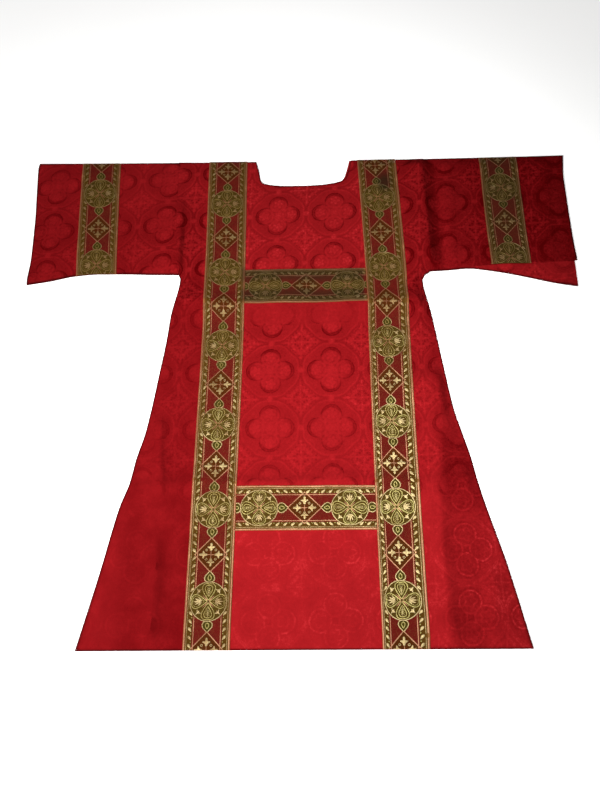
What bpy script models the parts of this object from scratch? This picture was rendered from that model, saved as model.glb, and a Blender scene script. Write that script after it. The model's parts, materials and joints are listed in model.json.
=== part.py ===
# A dalmatic laid flat on its back: front, back, two folded sleeves and six woven bands.
# Metres, +Z up. The hem is towards -Y and the neck towards +Y. "left" is the -X side.
# Every piece is a closed wall of cloth, and the back rests on Z = 0.

import math
from collections import namedtuple

import bmesh
import bpy
import numpy as np

# Cloth
CLOTH = 0.0018              # outer cloth, interlining and lining, sewn as one wall
GALLOON = 0.0012            # woven band
GAP = 0.0003                # clearance at seams and between layers
FOLD_RADIUS = CLOTH + GAP / 2.0
PUFF = 0.0030               # how far the front stands off the back, away from the edges
PUFF_REACH = 0.060          # distance from the outline at which it does so
CREASE_REACH = 0.030        # distance from the outline at which a crease has its full height

# Outline
SHOULDER_Y = 0.6015         # shoulder line, on the centre line
HEM_Y = -0.6169
SHOULDER_TILT = 0.0142      # rise of the shoulder line towards +X, per metre
SHOULDER_BOW = 0.0120       # and its rise towards both cuffs, per square metre
UNDERARM_Y = 0.2700
CUFF_X = 0.6780             # about where the cuffs' edges are
CUFF_ROLL_IN = 0.0080       # how far the rolled lower edge of the +X cuff is drawn in

# Neck
NECK_HALF_TOP = 0.1230      # at the shoulder line
NECK_HALF_LOW = 0.1100      # where its sides turn into its lower edge
NECK_CENTRE_X = 0.0050
NECK_Y = 0.5245             # lower edge
NECK_CORNER = 0.0240        # how far the lower edge rises into the corners
NECK_CORNER_POWER = 6.0
NECK_TILT = 0.0200
BACK_NECK_IN = 0.0040       # how far the back's +X neck side shows past the front's

# Bands
GALLOON_WIDTH = 0.0990
UPPER_BAR = (0.1810, 0.2770)
LOWER_BAR = (-0.3672, -0.2685)

# Creases that a row of the mesh follows
UPPER_CREASE_Y = 0.1860
LOWER_CREASE_Y = -0.2610

# Mesh
ROW_STEP = 0.0460
FOLD_STEPS = 4

# Distance of the body's edge from the centre line. Down to the underarm it is the armhole.
SideRow = namedtuple("SideRow", "y left right")
SIDE_ROWS = (
    SideRow(y=0.6015, left=0.3200, right=0.3180),
    SideRow(y=0.4850, left=0.3180, right=0.3180),
    SideRow(y=UNDERARM_Y, left=0.3060, right=0.3170),
    SideRow(y=0.2580, left=0.3010, right=0.3000),
    SideRow(y=0.2450, left=0.3020, right=0.2960),
    SideRow(y=0.2260, left=0.3050, right=0.2975),
    SideRow(y=0.1930, left=0.3125, right=0.3045),
    SideRow(y=0.1600, left=0.3190, right=0.3110),
    SideRow(y=0.0970, left=0.3255, right=0.3205),
    SideRow(y=0.0040, left=0.3390, right=0.3340),
    SideRow(y=-0.0860, left=0.3525, right=0.3480),
    SideRow(y=-0.2010, left=0.3790, right=0.3780),
    SideRow(y=-0.2560, left=0.3900, right=0.3890),
    SideRow(y=-0.3110, left=0.4085, right=0.4020),
    SideRow(y=-0.4420, left=0.4380, right=0.4380),
    SideRow(y=HEM_Y, left=0.4800, right=0.4770),
)

# Distance of a long band's centre from the centre line.
ClavusRow = namedtuple("ClavusRow", "y left right")
CLAVUS_ROWS = (
    ClavusRow(y=0.6015, left=0.1908, right=0.1945),
    ClavusRow(y=0.2000, left=0.1905, right=0.2065),
    ClavusRow(y=-0.1800, left=0.1972, right=0.2073),
    ClavusRow(y=HEM_Y, left=0.2062, right=0.2112),
)

# Distance of a sleeve band's centre from the centre line, at share 0 and 1 of its length.
SleeveBandRow = namedtuple("SleeveBandRow", "share left right")
SLEEVE_BAND_ROWS = (
    SleeveBandRow(share=0.0, left=0.5087, right=0.5165),
    SleeveBandRow(share=1.0, left=0.5203, right=0.5114),
)

# Distance of a cuff's edge from the centre line, from its lower corner up to the fold.
CuffRow = namedtuple("CuffRow", "share left right")
CUFF_ROWS = (
    CuffRow(share=0.0, left=0.6790, right=0.6845),
    CuffRow(share=0.2, left=0.6753, right=0.6812),
    CuffRow(share=0.5, left=0.6770, right=0.6796),
    CuffRow(share=0.8, left=0.6828, right=0.6792),
    CuffRow(share=1.0, left=0.6857, right=0.6857),
)

# Lower edge of the sleeves, and of the +X sleeve's front, whose seam has rolled up.
SleeveRow = namedtuple("SleeveRow", "out left right right_seam")
SLEEVE_ROWS = (
    SleeveRow(out=0.306, left=0.2677, right=0.2735, right_seam=0.2775),
    SleeveRow(out=0.360, left=0.2683, right=0.2770, right_seam=0.2815),
    SleeveRow(out=0.415, left=0.2700, right=0.2815, right_seam=0.2868),
    SleeveRow(out=0.450, left=0.2706, right=0.2775, right_seam=0.2902),
    SleeveRow(out=0.500, left=0.2706, right=0.2690, right_seam=0.2922),
    SleeveRow(out=0.560, left=0.2655, right=0.2555, right_seam=0.2932),
    SleeveRow(out=0.620, left=0.2520, right=0.2408, right_seam=0.2975),
    SleeveRow(out=0.683, left=0.2410, right=0.2300, right_seam=0.3035),
)

# Where the side fold's column lies between a long band (0) and the body's edge (1).
FoldShareRow = namedtuple("FoldShareRow", "y share")
FOLD_SHARE_ROWS = (
    FoldShareRow(y=0.6015, share=0.70),
    FoldShareRow(y=-0.0500, share=0.75),
    FoldShareRow(y=-0.1160, share=0.68),
    FoldShareRow(y=-0.3000, share=0.45),
    FoldShareRow(y=HEM_Y, share=0.26),
)

# Creases, each run from its start to its end. "port" is the width of its slope on the left of
# that run and "starboard" on its right; "fade" is the length over which each end dies away.
Crease = namedtuple("Crease", "x0 y0 x1 y1 height port starboard fade")
CREASES = (
    Crease(-0.345, 0.187, 0.335, 0.186, height=0.0130, port=0.120, starboard=0.065, fade=0.04),
    Crease(-0.410, -0.268, 0.400, -0.250, height=0.0075, port=0.055, starboard=0.120, fade=0.04),
    Crease(-0.306, 0.240, -0.319, 0.560, height=0.0095, port=0.088, starboard=0.026, fade=0.10),
    Crease(0.312, 0.235, 0.316, 0.625, height=0.0150, port=0.110, starboard=0.042, fade=0.06),
    Crease(0.364, 0.265, 0.354, 0.560, height=0.0060, port=0.026, starboard=0.080, fade=0.08),
    Crease(-0.309, -0.285, -0.326, -0.090, height=0.0040, port=0.045, starboard=0.022, fade=0.05),
    Crease(-0.311, -0.640, -0.325, -0.300, height=0.0070, port=0.060, starboard=0.030, fade=0.06),
    Crease(0.311, -0.640, 0.339, 0.020, height=0.0100, port=0.075, starboard=0.135, fade=0.06),
    Crease(0.372, 0.250, 0.368, 0.640, height=0.0060, port=0.040, starboard=0.400, fade=0.05),
    Crease(0.612, 0.270, 0.632, 0.590, height=0.0040, port=0.050, starboard=0.040, fade=0.06),
    Crease(-0.610, 0.270, -0.630, 0.570, height=0.0025, port=0.045, starboard=0.050, fade=0.08),
    Crease(-0.405, 0.290, -0.395, 0.560, height=0.0020, port=0.050, starboard=0.045, fade=0.08),
)

Finish = namedtuple("Finish", "colour roughness metallic")
DAMASK = Finish(colour=(0.42, 0.012, 0.016), roughness=0.45, metallic=0.0)
ORPHREY = Finish(colour=(0.34, 0.22, 0.08), roughness=0.50, metallic=0.3)


def curve_through(rows, key, value):
    """A smooth curve through one column of a table that never overshoots its rows."""
    points = sorted((getattr(row, key), getattr(row, value)) for row in rows)
    xs = [point[0] for point in points]
    ys = [point[1] for point in points]
    slopes = [(ys[i + 1] - ys[i]) / (xs[i + 1] - xs[i]) for i in range(len(xs) - 1)]
    tangents = [slopes[0]]
    for before, after in zip(slopes, slopes[1:]):
        if before * after <= 0.0:
            tangents.append(0.0)
        else:
            tangents.append(2.0 * before * after / (before + after))
    tangents.append(slopes[-1])

    def evaluate(x):
        x = min(max(x, xs[0]), xs[-1])
        i = 0
        while i < len(slopes) - 1 and x > xs[i + 1]:
            i += 1
        span = xs[i + 1] - xs[i]
        t = (x - xs[i]) / span
        start = (1.0 + 2.0 * t) * (1.0 - t) ** 2 * ys[i] + t * (1.0 - t) ** 2 * span * tangents[i]
        end = t * t * (3.0 - 2.0 * t) * ys[i + 1] + t * t * (t - 1.0) * span * tangents[i + 1]
        return start + end

    return evaluate


clavus_curve = {
    -1: curve_through(CLAVUS_ROWS, "y", "left"),
    1: curve_through(CLAVUS_ROWS, "y", "right"),
}
sleeve_band_curve = {
    -1: curve_through(SLEEVE_BAND_ROWS, "share", "left"),
    1: curve_through(SLEEVE_BAND_ROWS, "share", "right"),
}
cuff_curve = {
    -1: curve_through(CUFF_ROWS, "share", "left"),
    1: curve_through(CUFF_ROWS, "share", "right"),
}
side_curve = {
    -1: curve_through(SIDE_ROWS, "y", "left"),
    1: curve_through(SIDE_ROWS, "y", "right"),
}
sleeve_low_curve = {
    -1: curve_through(SLEEVE_ROWS, "out", "left"),
    1: curve_through(SLEEVE_ROWS, "out", "right"),
}
seam_curve = curve_through(SLEEVE_ROWS, "out", "right_seam")
fold_share_curve = curve_through(FOLD_SHARE_ROWS, "y", "share")


def mix(a, b, t):
    return a + (b - a) * t


def lay_y(level, x):
    """Where a level measured on the centre line lies at x: level at the hem, tilted at the top."""
    share = (level - HEM_Y) / (SHOULDER_Y - HEM_Y)
    return level + (SHOULDER_TILT * x + SHOULDER_BOW * x * x) * share


def side_x(level, side):
    return side * side_curve[side](level)


def clavus_x(level, side, across):
    """A long band's line: across is -0.5 at its inner edge and 0.5 at its outer edge."""
    return side * (clavus_curve[side](level) + across * GALLOON_WIDTH)


def neck_side_x(level, side):
    share = min((SHOULDER_Y - level) / (SHOULDER_Y - NECK_Y), 1.0)
    return NECK_CENTRE_X + side * mix(NECK_HALF_TOP, NECK_HALF_LOW, share)


def neck_edge_y(x):
    reach = min(abs(x - NECK_CENTRE_X) / NECK_HALF_LOW, 1.0)
    return NECK_Y + NECK_CORNER * reach ** NECK_CORNER_POWER + NECK_TILT * x


def outline_points():
    """The garment's outline, round once."""
    points = []
    levels = np.linspace(HEM_Y, UNDERARM_Y, 30)
    outs = np.linspace(0.320, 0.660, 14)
    for level in levels:
        x = side_x(level, 1)
        points.append((x, lay_y(level, x)))
    for out in outs:
        points.append((out, sleeve_low_curve[1](out)))
    for share in np.linspace(0.0, 1.0, 6):
        x = cuff_curve[1](share)
        low = sleeve_low_curve[1](CUFF_X)
        points.append((x, mix(low, lay_y(SHOULDER_Y, x), share)))
    for x in (0.45, 0.30, NECK_CENTRE_X + NECK_HALF_TOP):
        points.append((x, lay_y(SHOULDER_Y, x)))
    for x in np.linspace(1.0, -1.0, 13) * NECK_HALF_LOW + NECK_CENTRE_X:
        points.append((x, neck_edge_y(x)))
    for x in (NECK_CENTRE_X - NECK_HALF_TOP, -0.30, -0.45):
        points.append((x, lay_y(SHOULDER_Y, x)))
    for share in np.linspace(1.0, 0.0, 6):
        x = -cuff_curve[-1](share)
        low = sleeve_low_curve[-1](CUFF_X)
        points.append((x, mix(low, lay_y(SHOULDER_Y, x), share)))
    for out in outs[::-1]:
        points.append((-out, sleeve_low_curve[-1](out)))
    for level in levels[::-1]:
        x = side_x(level, -1)
        points.append((x, lay_y(level, x)))
    return np.array(points)


OUTLINE = outline_points()


def distance_from_outline(x, y):
    starts = OUTLINE
    spans = np.roll(OUTLINE, -1, axis=0) - starts
    offsets = np.array((x, y)) - starts
    along = (offsets * spans).sum(axis=1) / (spans * spans).sum(axis=1)
    nearest = starts + spans * np.clip(along, 0.0, 1.0)[:, None]
    return float(np.hypot(x - nearest[:, 0], y - nearest[:, 1]).min())


def crease_height(crease, x, y):
    """Height of one crease at a point: a sharp crest with a slope on each side."""
    run = math.hypot(crease.x1 - crease.x0, crease.y1 - crease.y0)
    along_x = (crease.x1 - crease.x0) / run
    along_y = (crease.y1 - crease.y0) / run
    along = (x - crease.x0) * along_x + (y - crease.y0) * along_y
    across = (y - crease.y0) * along_x - (x - crease.x0) * along_y
    width = crease.port if across > 0.0 else crease.starboard
    slope = max(1.0 - abs(across) / width, 0.0)
    end = min(along, run - along) / crease.fade
    end = min(max(end, 0.0), 1.0)
    return crease.height * slope ** 1.7 * end * end * (3.0 - 2.0 * end)


def front_underside(x, y):
    """Height of the front cloth's underside over the ground."""
    distance = distance_from_outline(x, y)
    puff = 1.0 - (1.0 - min(distance / PUFF_REACH, 1.0)) ** 2
    hold = min(distance / CREASE_REACH, 1.0)
    creases = sum(crease_height(crease, x, y) ** 3 for crease in CREASES) ** (1.0 / 3.0)
    return CLOTH + GAP + PUFF * puff + creases * hold * hold * (3.0 - 2.0 * hold)


def body_levels():
    """Levels of the body's rows, from the shoulder down, none further apart than ROW_STEP."""
    levels = {row.y for row in SIDE_ROWS}
    levels.update(UPPER_BAR + LOWER_BAR)
    levels.update((NECK_Y, UPPER_CREASE_Y, LOWER_CREASE_Y))
    levels = sorted(levels, reverse=True)
    rows = []
    for upper, lower in zip(levels, levels[1:]):
        steps = math.ceil((upper - lower) / ROW_STEP)
        rows.extend(mix(upper, lower, i / steps) for i in range(steps))
    return rows + [levels[-1]]


LEVELS = body_levels()
NECK_ROW = LEVELS.index(NECK_Y)
NECK_SHARES = (0.06, 0.18, 0.50, 0.82, 0.94)    # columns between the neck's two sides
# Columns of the body's grid, counted from its -X edge.
HALF = 8                    # columns in each half, the last at the neck's side
NECK_COLUMNS = (HALF - 1, HALF + len(NECK_SHARES))
CLAVUS_COLUMNS = {-1: (4, 6), 1: (NECK_COLUMNS[1] + 1, NECK_COLUMNS[1] + 3)}


def half_columns(level, side, neck_in):
    """x of one half's columns at a level, from the body's edge in to the neck's side."""
    edge = side_x(level, side)
    band_out = clavus_x(level, side, 0.5)
    band_middle = clavus_x(level, side, 0.0)
    band_in = clavus_x(level, side, -0.5)
    fold = mix(band_out, edge, fold_share_curve(level))
    neck = neck_side_x(level, side) - side * neck_in
    outer = [edge, mix(edge, fold, 0.5), fold, mix(fold, band_out, 0.5)]
    return outer + [band_out, band_middle, band_in, neck]


def body_plan(right_neck_in=0.0):
    """Plan positions of the body's grid, a row for each level."""
    plan = []
    for index, level in enumerate(LEVELS):
        left = half_columns(level, -1, 0.0)
        right = half_columns(level, 1, right_neck_in)
        between = [mix(left[-1], right[-1], share) for share in NECK_SHARES]
        row = []
        for column, x in enumerate(left + between + right[::-1]):
            y = lay_y(level, x)
            if index == NECK_ROW and NECK_COLUMNS[0] <= column <= NECK_COLUMNS[1]:
                y = neck_edge_y(x)
            row.append((x, y))
        plan.append(row)
    return plan


def body_cells():
    """The body grid's cells that are cloth: all but those in the neck opening."""
    columns = 2 * HALF + len(NECK_SHARES)
    cells = set()
    for row in range(len(LEVELS) - 1):
        for column in range(columns - 1):
            in_neck = NECK_COLUMNS[0] <= column < NECK_COLUMNS[1]
            if not (in_neck and row < NECK_ROW):
                cells.add((row, column))
    return cells


def add_material(item, name, finish):
    material = bpy.data.materials.new(name)
    material.use_nodes = True
    shader = material.node_tree.nodes["Principled BSDF"]
    shader.inputs["Base Color"].default_value = (*finish.colour, 1.0)
    shader.inputs["Roughness"].default_value = finish.roughness
    shader.inputs["Metallic"].default_value = finish.metallic
    item.data.materials.append(material)


def add_wall(name, outer, inner, cells, finish):
    """A closed wall between two grids of points, over the cells that are cloth."""
    shape = bmesh.new()
    made = {}

    def vertex(skin, row, column):
        if (skin, row, column) not in made:
            grid = outer if skin else inner
            made[skin, row, column] = shape.verts.new(grid[row][column])
        return made[skin, row, column]

    def add_quad(a, b, c, d):
        shape.faces.new((a, b, c))
        shape.faces.new((a, c, d))

    for row, column in sorted(cells):
        corners = [(row, column), (row + 1, column), (row + 1, column + 1), (row, column + 1)]
        add_quad(*[vertex(True, *corner) for corner in corners])
        add_quad(*[vertex(False, *corner) for corner in corners])
        beside = [(row, column - 1), (row + 1, column), (row, column + 1), (row - 1, column)]
        for i, neighbour in enumerate(beside):
            if neighbour not in cells:
                start = corners[i]
                end = corners[(i + 1) % 4]
                add_quad(vertex(True, *start), vertex(True, *end),
                         vertex(False, *end), vertex(False, *start))
    bmesh.ops.recalc_face_normals(shape, faces=shape.faces)
    mesh = bpy.data.meshes.new(name)
    shape.to_mesh(mesh)
    shape.free()
    item = bpy.data.objects.new(name, mesh)
    bpy.context.scene.collection.objects.link(item)
    add_material(item, name, finish)
    return item


def lift(plan, offset):
    """The plan's points on the front cloth's underside, moved up by offset."""
    return [[(x, y, front_underside(x, y) + offset) for x, y in row] for row in plan]


def flat(plan, height):
    return [[(x, y, height) for x, y in row] for row in plan]


def all_cells(grid):
    return {(row, column) for row in range(len(grid) - 1) for column in range(len(grid[0]) - 1)}


def make_front(plan):
    return add_wall("front", lift(plan, CLOTH), lift(plan, 0.0), body_cells(), DAMASK)


def make_back():
    plan = body_plan(BACK_NECK_IN)
    return add_wall("back", flat(plan, CLOTH), flat(plan, 0.0), body_cells(), DAMASK)


def make_band(name, plan):
    """A band on the front cloth, made from the cloth's own points moved out."""
    outer = lift(plan, CLOTH + GAP + GALLOON)
    inner = lift(plan, CLOTH + GAP)
    return add_wall(name, outer, inner, all_cells(plan), ORPHREY)


def make_clavus(name, plan, side):
    first, last = CLAVUS_COLUMNS[side]
    return make_band(name, [row[first:last + 1] for row in plan])


def make_crossbar(name, plan, bar):
    """A band across the breast, its ends clear of the long bands' inner edges."""
    first = CLAVUS_COLUMNS[-1][1]
    last = CLAVUS_COLUMNS[1][0]
    rows = []
    for level, row in zip(LEVELS, plan):
        if bar[0] <= level <= bar[1]:
            points = list(row[first:last + 1])
            points[0] = (points[0][0] + GAP, points[0][1])
            points[-1] = (points[-1][0] - GAP, points[-1][1])
            rows.append(points)
    return make_band(name, rows)


def sleeve_stations(share, side):
    """x of a sleeve's columns at one share of its depth, from the armhole to the cuff."""
    level = mix(UNDERARM_Y, SHOULDER_Y, share)
    start = side_x(level, side) + side * GAP
    centre = side * sleeve_band_curve[side](share)
    band_in = centre - side * GALLOON_WIDTH / 2.0
    band_out = centre + side * GALLOON_WIDTH / 2.0
    end = side * cuff_curve[side](share)
    near = [mix(start, band_in, t) for t in (0.0, 0.14, 0.30, 0.46, 0.73)]
    far = [mix(band_out, end, t) for t in (0.33, 0.66, 1.0)]
    return near + [band_in, centre, band_out] + far


SLEEVE_BAND_COLUMNS = (5, 7)


def sleeve_shares():
    """The body's rows along the armhole, as shares of the sleeve's depth, from low to high."""
    above = [level for level in LEVELS if level >= UNDERARM_Y]
    return [(level - UNDERARM_Y) / (SHOULDER_Y - UNDERARM_Y) for level in above[::-1]]


def sleeve_front_plan(side):
    """Plan of a sleeve's front, a row for each share, from its seam up to the shoulder fold."""
    rows = []
    for share in sleeve_shares():
        row = []
        for x in sleeve_stations(share, side):
            low = seam_curve(abs(x)) if side > 0 else sleeve_low_curve[side](abs(x))
            high = lay_y(SHOULDER_Y, x) - FOLD_RADIUS
            row.append((x, mix(low, high, share)))
        rows.append(row)
    return rows


def sleeve_back_x(share, side, station):
    """x of a column on a sleeve's back. The +X cuff is drawn in where its lower edge rolls."""
    stations = sleeve_stations(share, side)
    if side < 0:
        return stations[station]
    reach = (stations[station] - stations[0]) / (stations[-1] - stations[0])
    return stations[station] - CUFF_ROLL_IN * (1.0 - share) ** 2 * reach


def fold_points(x, y, outward, turn):
    """Outer and inner points of a half turn from the front over to the back, or from back
    to front. outward is the way, along Y, that the fold's edge faces."""
    middle = CLOTH + GAP / 2.0
    outer = []
    inner = []
    for i in range(1, FOLD_STEPS):
        angle = math.pi * i / FOLD_STEPS
        rise = math.cos(angle) * turn
        reach = math.sin(angle) * outward
        outer.append((x, y + FOLD_RADIUS * reach, middle + FOLD_RADIUS * rise))
        inner.append((x, y + GAP / 2.0 * reach, middle + GAP / 2.0 * rise))
    return outer, inner


def make_sleeve(name, side):
    """A sleeve: up the front, over the shoulder fold, down the back, and on the +X side
    round the lower fold and up the front again to its seam."""
    plan = sleeve_front_plan(side)
    shares = sleeve_shares()
    outer = []
    inner = []
    for station in range(len(plan[0])):
        column = [row[station] for row in plan]
        outer_path = [(x, y, front_underside(x, y) + CLOTH) for x, y in column]
        inner_path = [(x, y, front_underside(x, y)) for x, y in column]
        top_x, top_y = column[-1]
        fold_outer, fold_inner = fold_points(top_x, top_y, 1.0, 1.0)
        outer_path += fold_outer
        inner_path += fold_inner
        for share in shares[::-1]:
            x = sleeve_back_x(share, side, station)
            low = sleeve_low_curve[side](abs(x)) + (FOLD_RADIUS if side > 0 else 0.0)
            y = mix(low, lay_y(SHOULDER_Y, x) - FOLD_RADIUS, share)
            outer_path.append((x, y, 0.0))
            inner_path.append((x, y, CLOTH))
        if side > 0:
            low_x, low_y = outer_path[-1][:2]
            fold_outer, fold_inner = fold_points(low_x, low_y, -1.0, -1.0)
            outer_path += fold_outer
            inner_path += fold_inner
            seam_y = column[0][1] - GAP
            for y in (low_y, seam_y):
                under = front_underside(low_x, y)
                outer_path.append((low_x, y, under + CLOTH))
                inner_path.append((low_x, y, under))
        outer.append(outer_path)
        inner.append(inner_path)
    return add_wall(name, outer, inner, all_cells(outer), DAMASK)


def make_sleeve_band(name, side):
    first, last = SLEEVE_BAND_COLUMNS
    plan = sleeve_front_plan(side)
    return make_band(name, [row[first:last + 1] for row in plan])


def main():
    for item in list(bpy.data.objects):
        bpy.data.objects.remove(item, do_unlink=True)
    plan = body_plan()
    make_back()
    make_front(plan)
    make_sleeve("sleeve_left", -1)
    make_sleeve("sleeve_right", 1)
    make_clavus("clavus_left", plan, -1)
    make_clavus("clavus_right", plan, 1)
    make_crossbar("crossbar_upper", plan, UPPER_BAR)
    make_crossbar("crossbar_lower", plan, LOWER_BAR)
    make_sleeve_band("sleeve_band_left", -1)
    make_sleeve_band("sleeve_band_right", 1)


main()
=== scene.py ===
# A dalmatic of red damask with woven gold bands, laid out flat with its old creases in it.
import json
import math

import bpy
import numpy as np
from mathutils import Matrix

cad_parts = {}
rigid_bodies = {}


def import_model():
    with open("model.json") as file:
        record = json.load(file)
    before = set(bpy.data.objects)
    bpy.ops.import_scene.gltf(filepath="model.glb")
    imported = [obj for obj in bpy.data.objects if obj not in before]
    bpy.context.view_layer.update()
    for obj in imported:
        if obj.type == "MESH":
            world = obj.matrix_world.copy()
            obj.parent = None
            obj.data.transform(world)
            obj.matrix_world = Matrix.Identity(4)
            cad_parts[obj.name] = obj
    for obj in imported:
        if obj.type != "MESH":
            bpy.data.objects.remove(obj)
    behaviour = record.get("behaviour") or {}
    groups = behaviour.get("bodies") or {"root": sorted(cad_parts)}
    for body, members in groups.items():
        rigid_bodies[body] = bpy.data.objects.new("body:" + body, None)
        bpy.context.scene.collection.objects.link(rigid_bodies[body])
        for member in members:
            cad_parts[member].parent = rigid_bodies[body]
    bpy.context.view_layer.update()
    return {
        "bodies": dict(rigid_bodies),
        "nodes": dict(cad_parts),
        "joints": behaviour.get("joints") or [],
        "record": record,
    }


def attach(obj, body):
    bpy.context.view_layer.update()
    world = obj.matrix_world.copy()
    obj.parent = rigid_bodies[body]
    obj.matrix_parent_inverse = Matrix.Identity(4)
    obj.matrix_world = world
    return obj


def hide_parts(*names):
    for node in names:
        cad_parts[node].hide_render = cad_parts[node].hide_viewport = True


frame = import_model()
print("frame loaded")

scene = bpy.context.scene


# Helpers for the layout
def mix(a, b, t):
    return a + (b - a) * t


def smooth(t):
    t = np.clip(t, 0.0, 1.0)
    return t * t * (3.0 - 2.0 * t)


def curveThrough(*rows):
    # a smooth curve that never overshoots its rows
    rows = np.array(sorted(rows), float)
    xs, ys = rows[:, 0], rows[:, 1]
    slope = np.diff(ys) / np.diff(xs)
    product = slope[:-1] * slope[1:]
    total = slope[:-1] + slope[1:]
    inner = np.where(product > 0, 2 * product / np.where(total == 0, 1, total), 0)
    tangent = np.concatenate([slope[:1], inner, slope[-1:]])

    def at(x):
        x = np.clip(x, xs[0], xs[-1])
        i = np.clip(np.searchsorted(xs, x) - 1, 0, len(slope) - 1)
        span = xs[i + 1] - xs[i]
        t = (x - xs[i]) / span
        start = (1 + 2 * t) * (1 - t) ** 2 * ys[i] + t * (1 - t) ** 2 * span * tangent[i]
        return start + t * t * (3 - 2 * t) * ys[i + 1] + t * t * (t - 1) * span * tangent[i + 1]

    return at


def ripple(x, y, size, seed, waves=7):
    # soft waves of about one size, the same each run
    rng = np.random.default_rng(seed)
    total = np.zeros(np.broadcast(x, y).shape)
    for turn, length, phase in zip(rng.uniform(0, math.tau, waves), rng.uniform(0.7, 1.6, waves) * size,
                                   rng.uniform(0, math.tau, waves)):
        total += np.sin((x * math.cos(turn) + y * math.sin(turn)) * math.tau / length + phase)
    return total / math.sqrt(waves)


def distanceTo(x, y, starts, ends):
    # distance of each point from the nearest of some segments
    flatX, flatY = np.ravel(x), np.ravel(y)
    spans = ends - starts
    best = np.full(flatX.shape, np.inf)
    for first in range(0, len(flatX), 4000):
        part = slice(first, first + 4000)
        away = np.stack([flatX[part], flatY[part]], -1)[:, None] - starts[None]
        along = np.clip((away * spans).sum(-1) / np.maximum((spans * spans).sum(-1), 1e-12), 0, 1)
        away -= spans * along[..., None]
        best[part] = np.sqrt((away * away).sum(-1)).min(1)
    return best.reshape(np.shape(x))


# How the garment lies
cloth = {
    "thickness": 0.0018,
    "gap": 0.0003,
    "puff": 0.0030,          # how far the front stands off the back
    "puffReach": 0.060,
    "edgeRadius": 0.0015,
    "seamRadius": 0.0002,
    "calmRim": 0.030,        # folds die out this near the outline
    "waviness": 0.0009,
    "waves": ((0.150, 3, 1.0), (0.055, 8, 0.5)),    # size, seed and strength of the low waves between the folds
    # how far in from the outline the painted edge shade reaches
    "edgeShadeReach": 0.0045,
    "tilt": (0.0142, 0.0120),    # how the rows of cloth slant and bow at the shoulder
    "step": 0.0052,          # size of the mesh's cells
}
shoulderY, hemY, underarmY = 0.6015, -0.6169, 0.2700
neckY, calmY = 0.5260, 0.4500    # the neck's lower edge, and where rows under it are straight again
foldRadius = cloth["thickness"] + cloth["gap"] / 2
fineCells = np.array((0.0005, 0.0011, 0.0020))   # rows and columns set close together beside a rounded edge
halfBand = 0.0495

# half widths of the body, from the shoulder down to the hem
sideCurve = {
    -1: curveThrough((shoulderY, 0.3200), (0.4850, 0.3180), (underarmY, 0.3060), (0.2580, 0.3010),
                     (0.2450, 0.3020), (0.2260, 0.3050), (0.1930, 0.3125), (0.1600, 0.3190),
                     (0.0970, 0.3255), (0.0040, 0.3390), (-0.0860, 0.3525), (-0.1450, 0.3635),
                     (-0.2010, 0.3790), (-0.2560, 0.3900), (-0.3110, 0.4085), (-0.3650, 0.4215),
                     (-0.4420, 0.4380), (hemY, 0.4800)),
    1: curveThrough((shoulderY, 0.3180), (0.4850, 0.3180), (underarmY, 0.3170), (0.2580, 0.3000),
                    (0.2450, 0.2960), (0.2260, 0.2975), (0.1930, 0.3045), (0.1600, 0.3110),
                    (0.0970, 0.3205), (0.0040, 0.3340), (-0.0860, 0.3480), (-0.1450, 0.3630),
                    (-0.2010, 0.3780), (-0.2560, 0.3890), (-0.3110, 0.4020), (-0.3650, 0.4170),
                    (-0.4420, 0.4380), (hemY, 0.4770)),
}
# centres of the long bands
clavusCurve = {
    -1: curveThrough((shoulderY, 0.1908), (0.2000, 0.1905), (-0.1800, 0.1972), (hemY, 0.2062)),
    1: curveThrough((shoulderY, 0.1945), (0.2000, 0.2065), (-0.1800, 0.2073), (hemY, 0.2112)),
}
# centres of the sleeve bands, from the lower edge up
sleeveBandCurve = {
    -1: curveThrough((0.0, 0.5087), (0.5, 0.5150), (1.0, 0.5203)),
    1: curveThrough((0.0, 0.5175), (0.4, 0.5128), (1.0, 0.5114)),
}
cuffCurve = {
    -1: curveThrough((0.0, 0.6780), (0.03, 0.6790), (0.2, 0.6753), (0.5, 0.6770), (0.8, 0.6828),
                     (0.97, 0.6857), (1.0, 0.6835)),
    1: curveThrough((0.0, 0.6845), (0.2, 0.6812), (0.5, 0.6796), (0.8, 0.6792), (1.0, 0.6857)),
}
# lower edges of the sleeves, and the seam that has rolled up onto the +X sleeve's front
sleeveLowCurve = {
    -1: curveThrough((0.306, 0.2677), (0.360, 0.2683), (0.415, 0.2700), (0.450, 0.2706),
                     (0.500, 0.2706), (0.560, 0.2655), (0.620, 0.2520), (0.683, 0.2410)),
    1: curveThrough((0.306, 0.2735), (0.360, 0.2770), (0.415, 0.2815), (0.450, 0.2775),
                    (0.500, 0.2690), (0.560, 0.2555), (0.620, 0.2408), (0.683, 0.2300)),
}
seamCurve = curveThrough((0.306, 0.2775), (0.360, 0.2815), (0.415, 0.2868), (0.450, 0.2902),
                         (0.500, 0.2922), (0.560, 0.2932), (0.620, 0.2975), (0.683, 0.3035))
# the neck: its sides from the shoulder to the corner, and its lower edge
neckSideCurve = {
    -1: curveThrough((0.0, 0.1181), (0.4, 0.1112), (0.7, 0.1078), (0.85, 0.1060), (0.95, 0.1030), (1.0, 0.0990)),
    1: curveThrough((0.0, 0.1281), (0.35, 0.1230), (0.7, 0.1170), (0.85, 0.1143), (0.95, 0.1110), (1.0, 0.1060)),
}
neckLowCurve = curveThrough((-0.099, 0.5340), (-0.0861, 0.5300), (-0.0654, 0.5268), (-0.0447, 0.5256),
                            (-0.003, 0.5258), (0.038, 0.5276), (0.0588, 0.5298), (0.0796, 0.5335),
                            (0.1004, 0.5395), (0.106, 0.5425))


def layY(level, x):
    # rows are level at the hem and tilt with the shoulder towards the top
    slant, bow = cloth["tilt"]
    return level + (slant * x + bow * x * x) * (level - hemY) / (shoulderY - hemY)


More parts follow.
